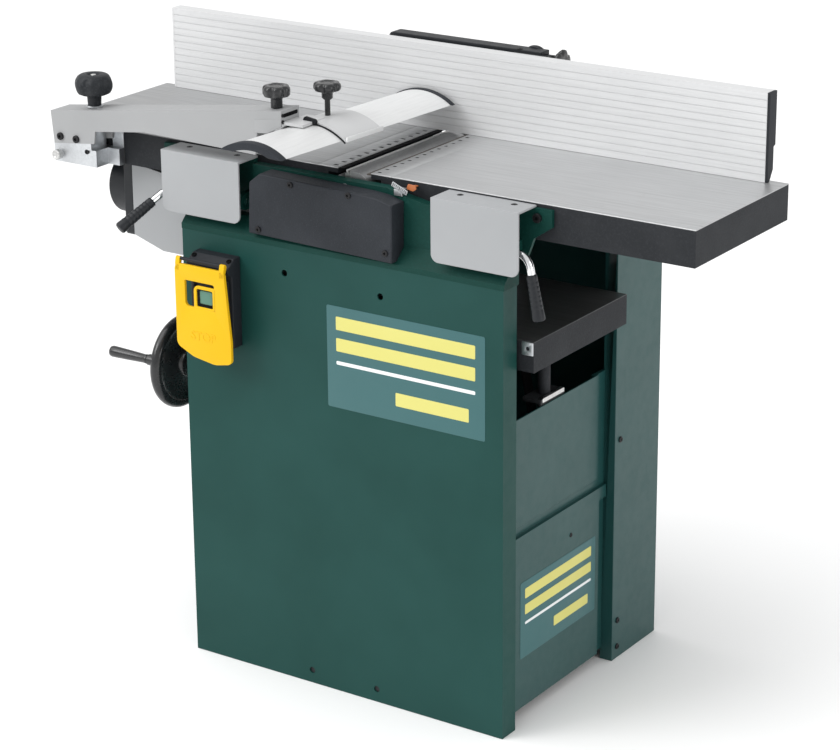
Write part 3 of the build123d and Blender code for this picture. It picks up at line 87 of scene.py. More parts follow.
def placed(name, data):
    """A new object in the scene, for a mesh, curve, light or camera."""
    thing = bpy.data.objects.new(name, data)
    bpy.context.scene.collection.objects.link(thing)
    return thing


# ------------ camera

AZIMUTH, PITCH, ROLL = 34.17, 18.90, 0.461  # degrees
EYE = (2.1338, -3.1550, 1.8001)  # metres
LENS, SENSOR = 116.9, 36  # millimetres
SHIFT = -0.05
FAR = 60


def make_camera():
    """The view of the photograph, solved from the edges of the tables, fence and stand."""
    az, pitch, roll = map(math.radians, (AZIMUTH, PITCH, ROLL))
    level = Vector((-math.sin(az), math.cos(az), 0))
    ahead = level * math.cos(pitch) - Vector((0, 0, math.sin(pitch)))
    right = ahead.cross(Vector((0, 0, 1))).normalized()
    down = ahead.cross(right)
    x_axis = right * math.cos(roll) + down * math.sin(roll)
    y_axis = right * math.sin(roll) - down * math.cos(roll)
    turn = Matrix((x_axis, y_axis, -ahead)).transposed()
    data = bpy.data.cameras.new("camera")
    data.lens = LENS
    data.sensor_width = SENSOR
    data.shift_y = SHIFT
    data.clip_end = FAR
    camera = placed("camera", data)
    camera.matrix_world = Matrix.Translation(EYE) @ turn.to_4x4()
    bpy.context.scene.camera = camera


make_camera()

# ------------ light and floor


def area_light(name, place, aim, size, power):
    """A soft box of the given size and power, turned towards a point."""
    data = bpy.data.lights.new(name, "AREA")
    data.shape = "RECTANGLE"
    data.size, data.size_y = size
    data.energy = power
    lamp = placed(name, data)
    lamp.location = place
    lamp.rotation_euler = (Vector(aim) - Vector(place)).to_track_quat("-Z", "Y").to_euler()


def soft_sun(strength, place, spread):
    """Light from the whole ceiling: a sun with a wide disc, in degrees."""
    data = bpy.data.lights.new("sky_box", "SUN")
    data.energy = strength
    data.angle = math.radians(spread)
    lamp = placed("sky_box", data)
    lamp.rotation_euler = (-Vector(place)).to_track_quat("-Z", "Y").to_euler()


def make_world(strength):
    """An even white studio."""
    world = bpy.data.worlds.new("studio")
    world.use_nodes = True
    back = world.node_tree.nodes["Background"]
    back.inputs["Color"].default_value = (1, 1, 1, 1)
    back.inputs["Strength"].default_value = strength
    bpy.context.scene.world = world


make_world(strength=0.78)
soft_sun(strength=1.6, place=(-0.9, -1.0, 2.2), spread=60)
area_light("key", place=(-2.2, -3.0, 2.6), aim=(0, 0, 0.75), size=(2.0, 1.6), power=45)
area_light("rim", place=(3.2, -0.6, 1.5), aim=(0, 0, 0.5), size=(1.4, 2.0), power=22)

view = bpy.context.scene.view_settings
view.view_transform = "Standard"
view.look = "None"
view.exposure = 0
view.gamma = 1

# ------------ finishes


class Finish:
    """A procedural material: shades, roughness and relief from noise in the piece's own space.

    noise and height measure a place, ramp and maths make a mask of that, and tint, roughen,
    metal and bump lay a layer over those before it. done gives the material.
    """

    def __init__(self, name, colour, rough, metal=0.0, coat=0.0, gloss=0.5):
        self.material = bpy.data.materials.new(name)
        self.material.use_nodes = True
        tree = self.material.node_tree
        self.node, self.link = tree.nodes.new, tree.links.new
        self.shader = tree.nodes["Principled BSDF"]
        self.shader.inputs["Base Color"].default_value = (*colour, 1)
        self.shader.inputs["Roughness"].default_value = rough
        self.shader.inputs["Metallic"].default_value = metal
        self.shader.inputs["Coat Weight"].default_value = coat
        self.shader.inputs["Specular IOR Level"].default_value = gloss
        self.place = self.node("ShaderNodeTexCoord")
        self.base_colour, self.base_rough = (*colour, 1), rough
        self.colour = self.rough = self.relief = None

    def noise(self, scale, detail=4.0, rough=0.6, stretch=(1, 1, 1)):
        mapping = self.node("ShaderNodeMapping")
        mapping.inputs["Scale"].default_value = stretch
        node = self.node("ShaderNodeTexNoise")
        node.inputs["Scale"].default_value = scale
        node.inputs["Detail"].default_value = detail
        node.inputs["Roughness"].default_value = rough
        self.link(self.place.outputs["Object"], mapping.inputs["Vector"])
        self.link(mapping.outputs[0], node.inputs["Vector"])
        return node.outputs["Fac"]

    def ramp(self, value, low, high, top=1.0):
        node = self.node("ShaderNodeMapRange")
        node.clamp = True
        ends = {"From Min": low, "From Max": high, "To Min": 0.0, "To Max": top}
        for socket, number in ends.items():
            node.inputs[socket].default_value = number
        self.link(value, node.inputs["Value"])
        return node.outputs[0]

    def maths(self, kind, a, b):
        node = self.node("ShaderNodeMath")
        node.operation = kind
        for socket, value in zip(node.inputs, (a, b)):
            if isinstance(value, (int, float)):
                socket.default_value = value
            else:
                self.link(value, socket)
        return node.outputs[0]

    def height(self):
        node = self.node("ShaderNodeSeparateXYZ")
        self.link(self.place.outputs["Object"], node.inputs[0])
        return node.outputs["Z"]

    def tint(self, mask, colour, amount=1.0):
        node = self.node("ShaderNodeMix")
        node.data_type = "RGBA"
        factor = self.maths("MULTIPLY", mask, amount)
        self.link(factor, node.inputs["Factor"])
        if self.colour:
            self.link(self.colour, node.inputs["A"])
        else:
            node.inputs["A"].default_value = self.base_colour
        node.inputs["B"].default_value = (*colour, 1)
        self.colour = node.outputs["Result"]

    def roughen(self, mask, value):
        node = self.node("ShaderNodeMix")
        self.link(mask, node.inputs["Factor"])
        if self.rough:
            self.link(self.rough, node.inputs["A"])
        else:
            node.inputs["A"].default_value = self.base_rough
        node.inputs["B"].default_value = value
        self.rough = node.outputs["Result"]

    def metal(self, mask, inside):
        self.link(self.ramp(mask, 0, 1, inside), self.shader.inputs["Metallic"])

    def bump(self, height, strength, depth):
        node = self.node("ShaderNodeBump")
        node.inputs["Strength"].default_value = strength
        node.inputs["Distance"].default_value = depth
        self.link(height, node.inputs["Height"])
        if self.relief:
            self.link(self.relief, node.inputs["Normal"])
        self.relief = node.outputs[0]

    def done(self):
        found = {"Base Color": self.colour, "Roughness": self.rough, "Normal": self.relief}
        for socket, value in found.items():
            if value:
                self.link(value, self.shader.inputs[socket])
        return self.material


def paint(name, colour, pale, rough, peel=700, depth=0.00012, dust=0.18, coat=0.0, gloss=0.3):
    """Sprayed or powder coat paint: cloudy shade, orange peel, faint scuffs and dust."""
    f = Finish(name, colour, rough, coat=coat, gloss=gloss)
    cloud = f.noise(5, 3)
    f.tint(f.ramp(cloud, 0.35, 0.75), pale, 0.45)
    scuff = f.ramp(f.noise(34, 8, 0.72, (1, 1, 0.25)), 0.60, 0.78)
    f.tint(scuff, pale, dust)
    speck = f.ramp(f.noise(420, 2, 0.5), 0.70, 0.80)
    f.tint(speck, pale, dust)
    f.roughen(f.ramp(f.noise(60, 5), 0.35, 0.75), rough + 0.12)
    f.roughen(scuff, rough + 0.2)
    f.bump(f.noise(peel, 3, 0.55), 0.35, depth)
    f.bump(f.noise(24, 2), 0.12, 0.0006)
    return f.done()


def textured(name, colour, pale, rough, grain=520, depth=0.0005, dust=0.25, gloss=0.25):
    """Wrinkle paint or a moulded grain, with paler flecks and worn spots."""
    f = Finish(name, colour, rough, gloss=gloss)
    lumps = f.noise(grain, 6, 0.62)
    f.tint(f.ramp(lumps, 0.52, 0.72), pale, 0.55)
    f.tint(f.ramp(f.noise(9, 4), 0.42, 0.75), pale, 0.35)
    f.tint(f.ramp(f.noise(55, 7, 0.7), 0.62, 0.74), pale, dust)
    f.roughen(f.ramp(lumps, 0.4, 0.7), rough + 0.16)
    f.bump(lumps, 0.55, depth)
    f.bump(f.noise(grain * 3.1, 3), 0.3, depth * 0.35)
    return f.done()


def moulded(name, colour, pale, rough, grain=1300, coat=0.0, gloss=0.35):
    """Smooth moulded plastic with a fine spark-eroded grain and small scratches."""
    f = Finish(name, colour, rough, coat=coat, gloss=gloss)
    f.tint(f.ramp(f.noise(12, 4), 0.4, 0.8), pale, 0.3)
    scratch = f.ramp(f.noise(70, 9, 0.8, (1, 0.2, 2.2)), 0.66, 0.72)
    f.tint(scratch, pale, 0.4)
    f.roughen(f.ramp(f.noise(90, 4), 0.35, 0.7), rough + 0.1)
    f.roughen(scratch, rough + 0.25)
    f.bump(f.noise(grain, 3), 0.22, 0.00012)
    return f.done()


def metal(name, colour, dull, rough, depth=0.00006, spots=0.3):
    """Bare or plated metal: fine tool lines, cloudy tarnish and small dull spots."""
    f = Finish(name, colour, rough, 1.0)
    line = f.noise(260, 5, 0.65)
    f.tint(f.ramp(line, 0.42, 0.68), dull, 0.35)
    cloud = f.ramp(f.noise(14, 6, 0.6), 0.42, 0.75)
    f.tint(cloud, dull, spots)
    f.tint(f.ramp(f.noise(230, 3), 0.68, 0.78), dull, spots)
    f.roughen(cloud, rough + 0.16)
    f.roughen(f.ramp(line, 0.4, 0.7), rough + 0.07)
    f.bump(line, 0.3, depth)
    return f.done()


def anodised(name, colour, dull, stretch, shine):
    """Satin extruded aluminium: pale, with die lines along it and faint handling marks."""
    f = Finish(name, colour, 0.46, shine)
    line = f.noise(380, 5, 0.6, stretch)
    f.tint(f.ramp(line, 0.44, 0.66), dull, 0.5)
    cloud = f.ramp(f.noise(9, 5, 0.6), 0.42, 0.75)
    f.tint(cloud, dull, 0.45)
    f.tint(f.ramp(f.noise(150, 4), 0.66, 0.76), dull, 0.5)
    f.roughen(cloud, 0.54)
    f.roughen(f.ramp(line, 0.4, 0.7), 0.50)
    f.bump(line, 0.2, 0.00004)
    return f.done()


def iron_table(name, ground, level):
    """Ground top and top edge over painted, sand-cast sides and pockets.

    ground is the height from which the iron is bare, and level scales the bare iron's colour:
    painted light and shade, set for each table.
    """

    def bare(red, green, blue):
        return red * level, green * level, blue * level

    f = Finish(name, (0.016, 0.018, 0.021), 0.62, gloss=0.2)
    sand = f.noise(330, 6, 0.66)
    f.tint(f.ramp(sand, 0.5, 0.75), (0.038, 0.041, 0.047), 0.5)
    f.tint(f.ramp(f.noise(16, 5), 0.45, 0.8), (0.036, 0.038, 0.042), 0.5)
    top = f.ramp(f.height(), ground, ground + 0.0004)
    grind = f.noise(240, 6, 0.6, (0.035, 1, 1))
    cloud = f.noise(7, 6, 0.62, (0.6, 1, 1))
    blot = f.noise(38, 8, 0.7)
    f.tint(top, bare(0.46, 0.465, 0.47))
    shade = f.maths("MULTIPLY", f.ramp(grind, 0.40, 0.66), top)
    f.tint(shade, bare(0.37, 0.375, 0.38), 0.55)
    f.tint(f.maths("MULTIPLY", f.ramp(cloud, 0.45, 0.72), top), bare(0.39, 0.395, 0.40), 0.5)
    f.tint(f.maths("MULTIPLY", f.ramp(blot, 0.60, 0.75), top), (0.34, 0.335, 0.33), 0.3)
    f.metal(top, 0.75)
    f.roughen(top, 0.36)
    f.roughen(shade, 0.44)
    f.bump(f.maths("MULTIPLY", grind, top), 0.25, 0.00005)
    f.bump(f.maths("MULTIPLY", sand, f.maths("SUBTRACT", 1.0, top)), 0.6, 0.0007)
    return f.done()


ALONG_X, ALONG_Y = (0.03, 1, 1), (1, 0.04, 1)  # the run of die lines
table_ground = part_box("infeed_table")[1][2] - 0.0014
bed_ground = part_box("thickness_table")[1][2] - 0.0010

green = paint("green_coat", (0.010, 0.055, 0.053), (0.024, 0.082, 0.080), 0.36, dust=0.12,
              coat=0.08, gloss=0.35)
# The front panel's copy of the green paint is darker and less glossy than the sides' paint:
# painted shade on the same paint.
front_green_painted_shade = paint("green_front_painted_shade", (0.009, 0.051, 0.044), (0.018, 0.077, 0.069), 0.38,
                    dust=0.12, gloss=0.15)
cast_green = textured("green_casting", (0.003, 0.038, 0.030), (0.012, 0.066, 0.056), 0.46,
                      grain=300, gloss=0.15)
dark_steel = textured("black_steel", (0.020, 0.022, 0.024), (0.055, 0.058, 0.062), 0.48,
                      grain=600, depth=0.0002)
bright_steel = metal("bright_steel", (0.66, 0.66, 0.65), (0.36, 0.36, 0.36), 0.26)
zinc = metal("zinc_plate", (0.62, 0.64, 0.66), (0.38, 0.39, 0.40), 0.34, spots=0.5)
# One ground iron at three levels of painted light: the infeed top brightened as a painted
# reflection, the outfeed top darkened and the bed darkened as painted shade.
iron = iron_table("infeed_iron_painted_light", table_ground, 1.18)
outfeed_iron_painted_shade = iron_table("outfeed_iron_painted_shade", table_ground, 0.95)
bed_iron_painted_shade = iron_table("bed_iron_painted_shade", bed_ground, 0.35)
aluminium = anodised("fence_anodise", (0.67, 0.675, 0.68), (0.59, 0.595, 0.60), ALONG_X,
                     shine=0.2)
satin = anodised("guard_satin", (0.74, 0.745, 0.745), (0.66, 0.665, 0.665), ALONG_Y,
                 shine=0.35)
grey = paint("grey_coat", (0.325, 0.335, 0.345), (0.385, 0.395, 0.405), 0.42)
pale_grey = paint("arm_coat", (0.315, 0.32, 0.325), (0.385, 0.39, 0.395), 0.40)
holder_coat = paint("holder_coat", (0.50, 0.505, 0.51), (0.58, 0.585, 0.59), 0.36)
black = moulded("black_mould", (0.008, 0.010, 0.013), (0.025, 0.028, 0.032), 0.42)
deep_black = moulded("deep_black", (0.0015, 0.0016, 0.002), (0.006, 0.006, 0.007), 0.6,
                     gloss=0.1)
gloss_black = moulded("knob_black", (0.010, 0.011, 0.012), (0.04, 0.04, 0.042), 0.24,
                      grain=900, coat=0.4)
wrinkle = textured("wrinkle_black", (0.018, 0.021, 0.026), (0.046, 0.051, 0.060), 0.5,
                   grain=420, gloss=0.2)
block_steel = metal("cutter_steel", (0.40, 0.405, 0.41), (0.24, 0.24, 0.245), 0.46)
chrome = metal("chrome", (0.86, 0.87, 0.88), (0.55, 0.56, 0.58), 0.10, depth=0.00002,
               spots=0.12)
yellow = moulded("yellow_mould", (0.74, 0.435, 0.002), (0.80, 0.50, 0.012), 0.36,
                 grain=1100, coat=0.04, gloss=0.2)
green_lens = moulded("green_mould", (0.02, 0.16, 0.06), (0.10, 0.35, 0.16), 0.3)
red_lens = moulded("red_mould", (0.45, 0.02, 0.015), (0.6, 0.10, 0.08), 0.3)
motor_coat = paint("motor_coat", (0.055, 0.06, 0.066), (0.12, 0.125, 0.13), 0.45)
pulley_iron = metal("cast_pulley", (0.36, 0.37, 0.38), (0.2, 0.2, 0.21), 0.42)
rubber = textured("rubber", (0.012, 0.012, 0.013), (0.04, 0.04, 0.04), 0.7, grain=800,
                  depth=0.0002)
sticker = paint("label_film", (0.042, 0.125, 0.130), (0.055, 0.145, 0.150), 0.34,
                peel=1500, depth=0.00002, dust=0.08)
label_bar = paint("label_bar", (0.64, 0.60, 0.17), (0.68, 0.64, 0.22), 0.36, peel=1500,
                  depth=0.00002, dust=0.08)
label_line = paint("label_line", (0.80, 0.82, 0.82), (0.70, 0.72, 0.72), 0.36, peel=1500,
                   depth=0.00002, dust=0.08)
crackle = textured("knob_crackle", (0.012, 0.014, 0.017), (0.06, 0.066, 0.072), 0.42,
                   grain=360, depth=0.0006, dust=0.35)
foam = textured("foam", (0.010, 0.011, 0.013), (0.03, 0.032, 0.036), 0.85, grain=900,
                depth=0.0006)
cap_grey = textured("end_cap_grey", (0.020, 0.022, 0.026), (0.04, 0.043, 0.048), 0.5,
                    grain=700, depth=0.0002, gloss=0.15)
socket_black = textured("socket_screw", (0.006, 0.006, 0.007), (0.03, 0.03, 0.032), 0.4,
                        grain=1200, depth=0.0001)
orange = moulded("pointer_orange", (0.42, 0.13, 0.045), (0.50, 0.20, 0.08), 0.4)
charcoal = textured("switch_charcoal", (0.010, 0.012, 0.016), (0.03, 0.033, 0.038), 0.5,
                    grain=900, depth=0.0001, dust=0.12)
# A brown textured finish, used only for the painted shade beside the infeed lip.
brown_throat_shade = textured("throat_brown_shade", (0.080, 0.070, 0.062), (0.15, 0.135, 0.12), 0.55,
                      grain=420, depth=0.0003)
button_green = moulded("button_green", (0.085, 0.20, 0.15), (0.14, 0.27, 0.21), 0.3,
                       grain=1500)

# ------------ floor


def make_floor():
    """A wide white disc, just under the stand, that only belongs to the picture."""
    radius, behind, drop = 26, 4, 0.0005
    f = Finish("studio_floor", (0.94, 0.94, 0.94), 0.6)
    f.tint(f.ramp(f.noise(0.9, 3), 0.3, 0.8), (0.92, 0.92, 0.92), 0.5)
    f.roughen(f.ramp(f.noise(14, 4), 0.3, 0.7), 0.62)
    f.bump(f.noise(180, 4), 0.05, 0.0004)
    bm = bmesh.new()
    bmesh.ops.create_circle(bm, cap_ends=True, segments=96, radius=radius)
    mesh = bpy.data.meshes.new("floor")
    bm.to_mesh(mesh)
    bm.free()
    mesh.materials.append(f.done())
    floor = placed("floor", mesh)
    floor.location = (0, behind, -drop)


make_floor()

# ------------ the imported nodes

FLAT = math.radians(0.4)  # faces that turn less than this are one face
EDGE = math.radians(32)  # edges that turn more than this are rounded


def round_edges(piece, width, segments=2):
    """Joins the facets of flat faces, gives the edges a small radius and shades them cleanly."""
    clean = piece.modifiers.new("clean", "DECIMATE")
    clean.decimate_type = "DISSOLVE"
    clean.angle_limit = FLAT
    edge = piece.modifiers.new("edge", "BEVEL")
    edge.width = width * MM
    edge.segments = segments
    edge.limit_method = "ANGLE"
    edge.angle_limit = EDGE
    edge.use_clamp_overlap = True
    piece.modifiers.new("shade", "WEIGHTED_NORMAL").keep_sharp = False


def dress(names, finish, width, segments=2):
    """Give CAD nodes their finish and, where width isn't 0, rounded edges (mm).

    Nodes that a piece of this script replaces aren't seen, so they stay undressed.
    """
    for name in names.split():
        node = nodes[name]
        for slot in node.material_slots:
            slot.material = finish
        if width:
            node.modifiers.new("weld", "WELD").merge_threshold = 0.00002
            round_edges(node, width, segments)


dress("front_panel", front_green_painted_shade, 0.7)
dress("side_panels rear_column", green, 0.7)
dress("machine_casting", cast_green, 1.4, 3)
dress("infeed_carrier outfeed_bracket", cast_green, 0.8)
dress("base_rails cross_member lift_brackets table_hinges", dark_steel, 0.6)
dress("fence_base fence_bracket", dark_steel, 0.6)
dress("lift_screw handwheel_shaft", bright_steel, 0.4)
dress("infeed_table", iron, 1.2, 3)
dress("outfeed_table", outfeed_iron_painted_shade, 1.2, 3)
dress("thickness_table", bed_iron_painted_shade, 1.0)
dress("fence", aluminium, 0.35)
dress("guard_cover", satin, 0.6)
dress("guard_arm", pale_grey, 0.8)
dress("guard_holder", holder_coat, 0.8)
dress("guard_bracket", zinc, 0.8)
dress("guard_end_caps", wrinkle, 1.2)
dress("infeed_lever_cover outfeed_lever_cover dust_hood", grey, 0.8)
dress("front_cover", wrinkle, 1.6, 3)
dress("dust_port cable_gland rear_guard", black, 0.9)
dress("depth_knob", gloss_black, 1.0)
dress("infeed_lever_rod outfeed_lever_rod", chrome, 0)
dress("fence_carriage fence_lock_lever", dark_steel, 0.8)
dress("cutterblock", block_steel, 0.3)
dress("cutter_knives infeed_roller outfeed_roller", bright_steel, 0.3)
dress("cutter_bearings", zinc, 0.4)
dress("cutter_pulley motor_pulley", pulley_iron, 0.5)
dress("drive_belt", rubber, 0.4)
dress("motor", motor_coat, 1.0)
dress("start_button", green_lens, 0.4)
dress("stop_button", red_lens, 0.4)

# ------------ mesh tools

UP = (0, 0, 1)
# Planes for flat pieces, each as (x direction, y direction).
FRONT = ((1, 0, 0), (0, 0, 1))  # seen from the front, standing up towards -Y
RIGHT = ((0, 1, 0), (0, 0, 1))  # seen from the right, standing up towards +X
TOP = ((1, 0, 0), (0, 1, 0))  # seen from above, standing up towards +Z


def extent(node):
    """The middle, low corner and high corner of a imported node's box, in mm."""
    low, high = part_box(node)
    middle = [(a + b) / 2 / MM for a, b in zip(low, high)]
    return middle, [v / MM for v in low], [v / MM for v in high]


def put_down(name, mesh, finish, body, replaced=(), angle=35):
    """A mesh becomes a piece: smooth shading with sharp folds, its finish and body."""
    mesh.polygons.foreach_set("use_smooth", [True] * len(mesh.polygons))
    mesh.set_sharp_from_angle(angle=math.radians(angle))
    mesh.materials.clear()
    mesh.materials.append(finish)
    piece = placed(name, mesh)
    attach(piece, body)
    if replaced:
        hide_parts(*replaced)
    return piece


def turned(name, profile, origin, axis, finish, body, replaced=(), steps=72, shape=None,
           angle=35):
    """A solid of revolution from (along, radius) pairs in mm about an axis.

    shape(turn, along, radius) scales each point of a ring, for lobes, knurls and recesses.
    """
    bm = bmesh.new()
    axis = Vector(axis).normalized()
    side = axis.orthogonal().normalized()
    up = axis.cross(side)
    start = Vector(origin) * MM
    rings = []
    for along, radius in profile:
        middle = start + axis * along * MM
        if radius <= 0:
            rings.append([bm.verts.new(middle)])
            continue
        ring = []
        for i in range(steps):
            turn = 2 * math.pi * i / steps
            reach = radius * MM * (shape(turn, along, radius) if shape else 1)
            place = middle + (side * math.cos(turn) + up * math.sin(turn)) * reach
            ring.append(bm.verts.new(place))
        rings.append(ring)
    for a, b in zip(rings, rings[1:]):
        for i in range(steps):
            j = (i + 1) % steps
            corners = [a[i % len(a)], a[j % len(a)], b[j % len(b)], b[i % len(b)]]
            corners = list(dict.fromkeys(corners))
            if len(corners) > 2:
                bm.faces.new(corners)
    bmesh.ops.recalc_face_normals(bm, faces=bm.faces)
    mesh = bpy.data.meshes.new(name)
    bm.to_mesh(mesh)
    bm.free()
    return put_down(name, mesh, finish, body, replaced, angle)


def from_curve(name, curve, plane, finish, body, replaced=()):
    """A filled curve becomes a mesh on its plane, with its doubled points joined."""
    origin, across, along = plane
    holder = placed(name + "_outline", curve)
    bpy.context.view_layer.update()
    seen = holder.evaluated_get(bpy.context.evaluated_depsgraph_get())
    mesh = bpy.data.meshes.new_from_object(seen)
    bpy.data.objects.remove(holder)
    bpy.data.curves.remove(curve)
    turn = Matrix((across, along, across.cross(along))).transposed().to_4x4()
    mesh.transform(Matrix.Translation(origin * MM) @ turn)
    bm = bmesh.new()
    bm.from_mesh(mesh)
    bmesh.ops.remove_doubles(bm, verts=bm.verts, dist=0.000002)
    bm.to_mesh(mesh)
    bm.free()
    mesh.name = name
    return put_down(name, mesh, finish, body, replaced)


def plate(name, loops, plane, thickness, finish, body, slot, replaced=(), edge=0.4):
    """A flat piece from 2-D loops in mm, the first outside and the rest holes, edges rounded.

    plane is (origin, x direction, y direction); the plate stands up from it along their
    cross product.
    """
    origin, across, along = (Vector(v) for v in plane)
    out = across.cross(along)
    curve = bpy.data.curves.new(name, "CURVE")
    curve.dimensions = "2D"
    curve.fill_mode = "BOTH"
    curve.extrude = (thickness / 2 - edge) * MM
    curve.bevel_depth = edge * MM
    curve.bevel_resolution = 2
    curve.offset = -edge * MM
    for loop in loops:
        spline = curve.splines.new("POLY")
        spline.points.add(len(loop) - 1)
        spline.use_cyclic_u = True
        for point, (x, y) in zip(spline.points, loop):
            point.co = (x * MM, y * MM, 0, 1)
    middle = (origin + out * thickness / 2, across, along)
    return from_curve(name, curve, middle, finish, body, replaced)


def front_plate(name, loops, y, thickness, *look, **how):
    """A plate of (x, z) loops that stands up from y towards the front."""
    return plate(name, loops, ((0, y, 0), *FRONT), thickness, *look, **how)


def top_plate(name, loops, z, thickness, *look, **how):
    """A plate of (x, y) loops that stands up from z."""
    return plate(name, loops, ((0, 0, z), *TOP), thickness, *look, **how)


def side_slab(name, loop, low_x, high_x, *look, **how):
    """A solid with one (y, z) outline all along x."""
    return plate(name, [loop], ((low_x, 0, 0), *RIGHT), high_x - low_x, *look, **how)


def rounded(points, radii, steps=6):
    """A closed loop with its corners rounded, points and radii in mm."""
    loop = []
    count = len(points)
    if isinstance(radii, (int, float)):
        radii = [radii] * count
    for i, radius in enumerate(radii):
        here = Vector((*points[i], 0))
        before = (Vector((*points[i - 1], 0)) - here).normalized()
        after = (Vector((*points[(i + 1) % count], 0)) - here).normalized()
        if radius <= 0:
            loop.append((here.x, here.y))
            continue
        half = before.angle(after) / 2
        reach = radius / math.tan(half)
        centre = here + (before + after).normalized() * radius / math.sin(half)
        a, b = here + before * reach - centre, here + after * reach - centre
        for k in range(steps + 1):
            spot = centre + a.slerp(b, k / steps).normalized() * radius
            loop.append((spot.x, spot.y))
    return loop


def rectangle(x0, x1, y0, y1, radii=0.0, steps=6):
    """The loop of a rectangle in mm, its corners rounded where radii are given."""
    corners = [(x0, y0), (x1, y0), (x1, y1), (x0, y1)]
    return rounded(corners, radii, steps) if radii else corners


def shrunk(loop, gap):
    """The loop moved inwards by a gap."""
    count = len(loop)
    result = []
    for i, here in enumerate(loop):
        a, b = Vector(loop[i - 1]), Vector(loop[(i + 1) % count])
        run = (b - a).normalized()
        result.append((here[0] - run.y * gap, here[1] + run.x * gap))
    return result


# ------------ screws


def socket_head(name, place, axis, radius, height, body, replaced=()):
    """A socket-head screw: chamfered head with a hexagon recess."""
    drive = radius * 0.45

    def hexagon(turn, along, r):
        if r > drive * 1.01:
            return 1
        bend = (turn % (math.pi / 3)) - math.pi / 6
        return math.cos(math.pi / 6) / math.cos(bend)

    profile = [
        (0, 0), (0, radius), (height - 0.5, radius), (height, radius - 0.5),
        (height, drive * 1.15), (height, drive), (height * 0.35, drive), (height * 0.3, 0),
    ]
    turned(name, profile, place, axis, socket_black, body, replaced,
           steps=48, shape=hexagon)


def cross_screw(name, place, axis, radius, height, body, finish=socket_black):
    """A countersunk or pan screw with a four-armed recess."""

    def cross(turn, along, r):
        if r > radius * 0.62 or r < radius * 0.3:
            return 1
        return 0.55 + 0.45 * abs(math.cos(2 * turn)) ** 2.5

    profile = [
        (0, radius), (height * 0.6, radius), (height, radius * 0.8), (height, radius * 0.66),
        (height, radius * 0.6), (height - 0.9, radius * 0.5), (height - 1.2, 0),
    ]
    turned(name, profile, place, axis, finish, body, steps=48, shape=cross)


# ------------ hand knobs


def lobes(count, low, high, cut, sharp=3.0):
    """Shape for a lobed head between two heights, with smooth valleys between round lobes."""
    fade_in, fade_out = 3.0, 2.5

    def shape(turn, along, radius):
        fade = min(max((along - low) / fade_in, 0), 1) * min(max((high - along) / fade_out, 0), 1)
        valley = (0.5 + 0.5 * math.cos(count * turn)) ** sharp
        return 1 - cut * valley * fade

    return shape


def height_knob():
    """The ball knob that sets the guard arm's height, with its collar and threaded insert."""
    node = "arm_height_knob"
    middle, _, top = extent(node)
    below_top = 41
    seat = (middle[0], middle[1], top[2] - below_top)
    head = [(-1.2, 0), (-1.2, 9.9), (8.0, 10.4), (12.5, 10.6), (14.6, 13.0), (15.6, 19.0)]
    for a in map(math.radians, range(-44, 66, 8)):
        head.append((30 + 17.5 * math.sin(a), 28.8 * math.cos(a) ** 0.55))
    head += [(45.4, 14.0), (45.9, 11.5), (45.4, 9.6), (43.6, 8.4), (43.2, 5.0), (43.2, 0)]
    turned("height_knob_head", head, seat, UP, crackle, node, (node,),
           steps=120, shape=lobes(6, 17, 43, 0.10, 2.0), angle=50)
    collar = [(-7, 5), (-3.6, 5), (-3.6, 11.4), (-3.0, 12.0), (-1.4, 12.0), (-0.8, 11.4),
              (-0.6, 9.9), (-0.6, 0)]
    turned("height_knob_collar", collar, seat, UP, zinc, node)
    insert = [(43.0, 0), (43.0, 4.2), (44.6, 4.2), (45.1, 3.6), (45.1, 1.6), (44.4, 1.4),
              (44.4, 0)]
    turned("height_knob_insert", insert, seat, UP, bright_steel, node)


def flat_knob(name, node, total, neck, stud):
    """A low six-lobed knob: neck, flared underside, rounded rim and a shallow dish on top.

    total is its height, neck is (radius, top, foot) and stud is (radius, length).
    """
    neck_radius, neck_top, neck_foot = neck
    stud_radius, stud_length = stud
    middle, _, top = extent(node)
    seat = (middle[0], middle[1], top[2] - total)
    profile = [
        (-stud_length, 0), (-stud_length, stud_radius), (-0.2, stud_radius),
        (-0.2 + neck_foot, neck_radius), (neck_top - 3, neck_radius),
        (neck_top - 0.6, neck_radius + 1.4), (neck_top + 0.6, 14.0), (neck_top + 1.8, 18.2),
        (neck_top + 4.2, 19.9), (total - 5.4, 20.0), (total - 2.6, 19.2), (total - 1.0, 17.4),
        (total - 0.3, 15.0), (total - 0.1, 12.0), (total - 0.7, 10.4), (total - 1.4, 9.0),
        (total - 1.5, 0),
    ]
    cut = lobes(6, neck_top + 0.4, total + 1.6, 0.16)
    turned(name, profile, seat, UP, gloss_black, node, (node,), steps=120,
           shape=cut, angle=50)


def tilt_knob():
    """The knob behind the fence, on a level spindle."""
    node = "tilt_knob"
    middle, _, high = extent(node)
    profile = [(-9, 0), (-9, 4), (0, 4), (0.2, 9), (7, 9), (9, 14), (10, 19.6), (13, 21.8),
               (15.4, 21.6), (17.4, 18.5), (17.9, 13), (17.2, 10), (17, 0)]
    turned("tilt_knob_head", profile, (high[0] - 18, middle[1], middle[2]), (1, 0, 0),
           gloss_black, node, (node,), steps=120,
           shape=lobes(6, 9, 20, 0.16), angle=50)


height_knob()
flat_knob("clamp_knob_head", "arm_clamp_knob", 32, neck=(8.4, 15.0, 0.1), stud=(4, 5.5))
flat_knob("guard_knob_head", "guard_clamp_knob", 26, neck=(8.0, 12.5, 3.4), stud=(4, 24.5))
tilt_knob()

# ------------ handwheel and lever grips

LEVER_PIVOT = Vector((0, -205, 722))  # both lock levers turn about this height and depth
LEVER_BEND, LEVER_DROP = 306, 86  # from the middle to the rod's bend, then down it
GRIP_LENGTH, GRIP_OVERLAP = 64, 60


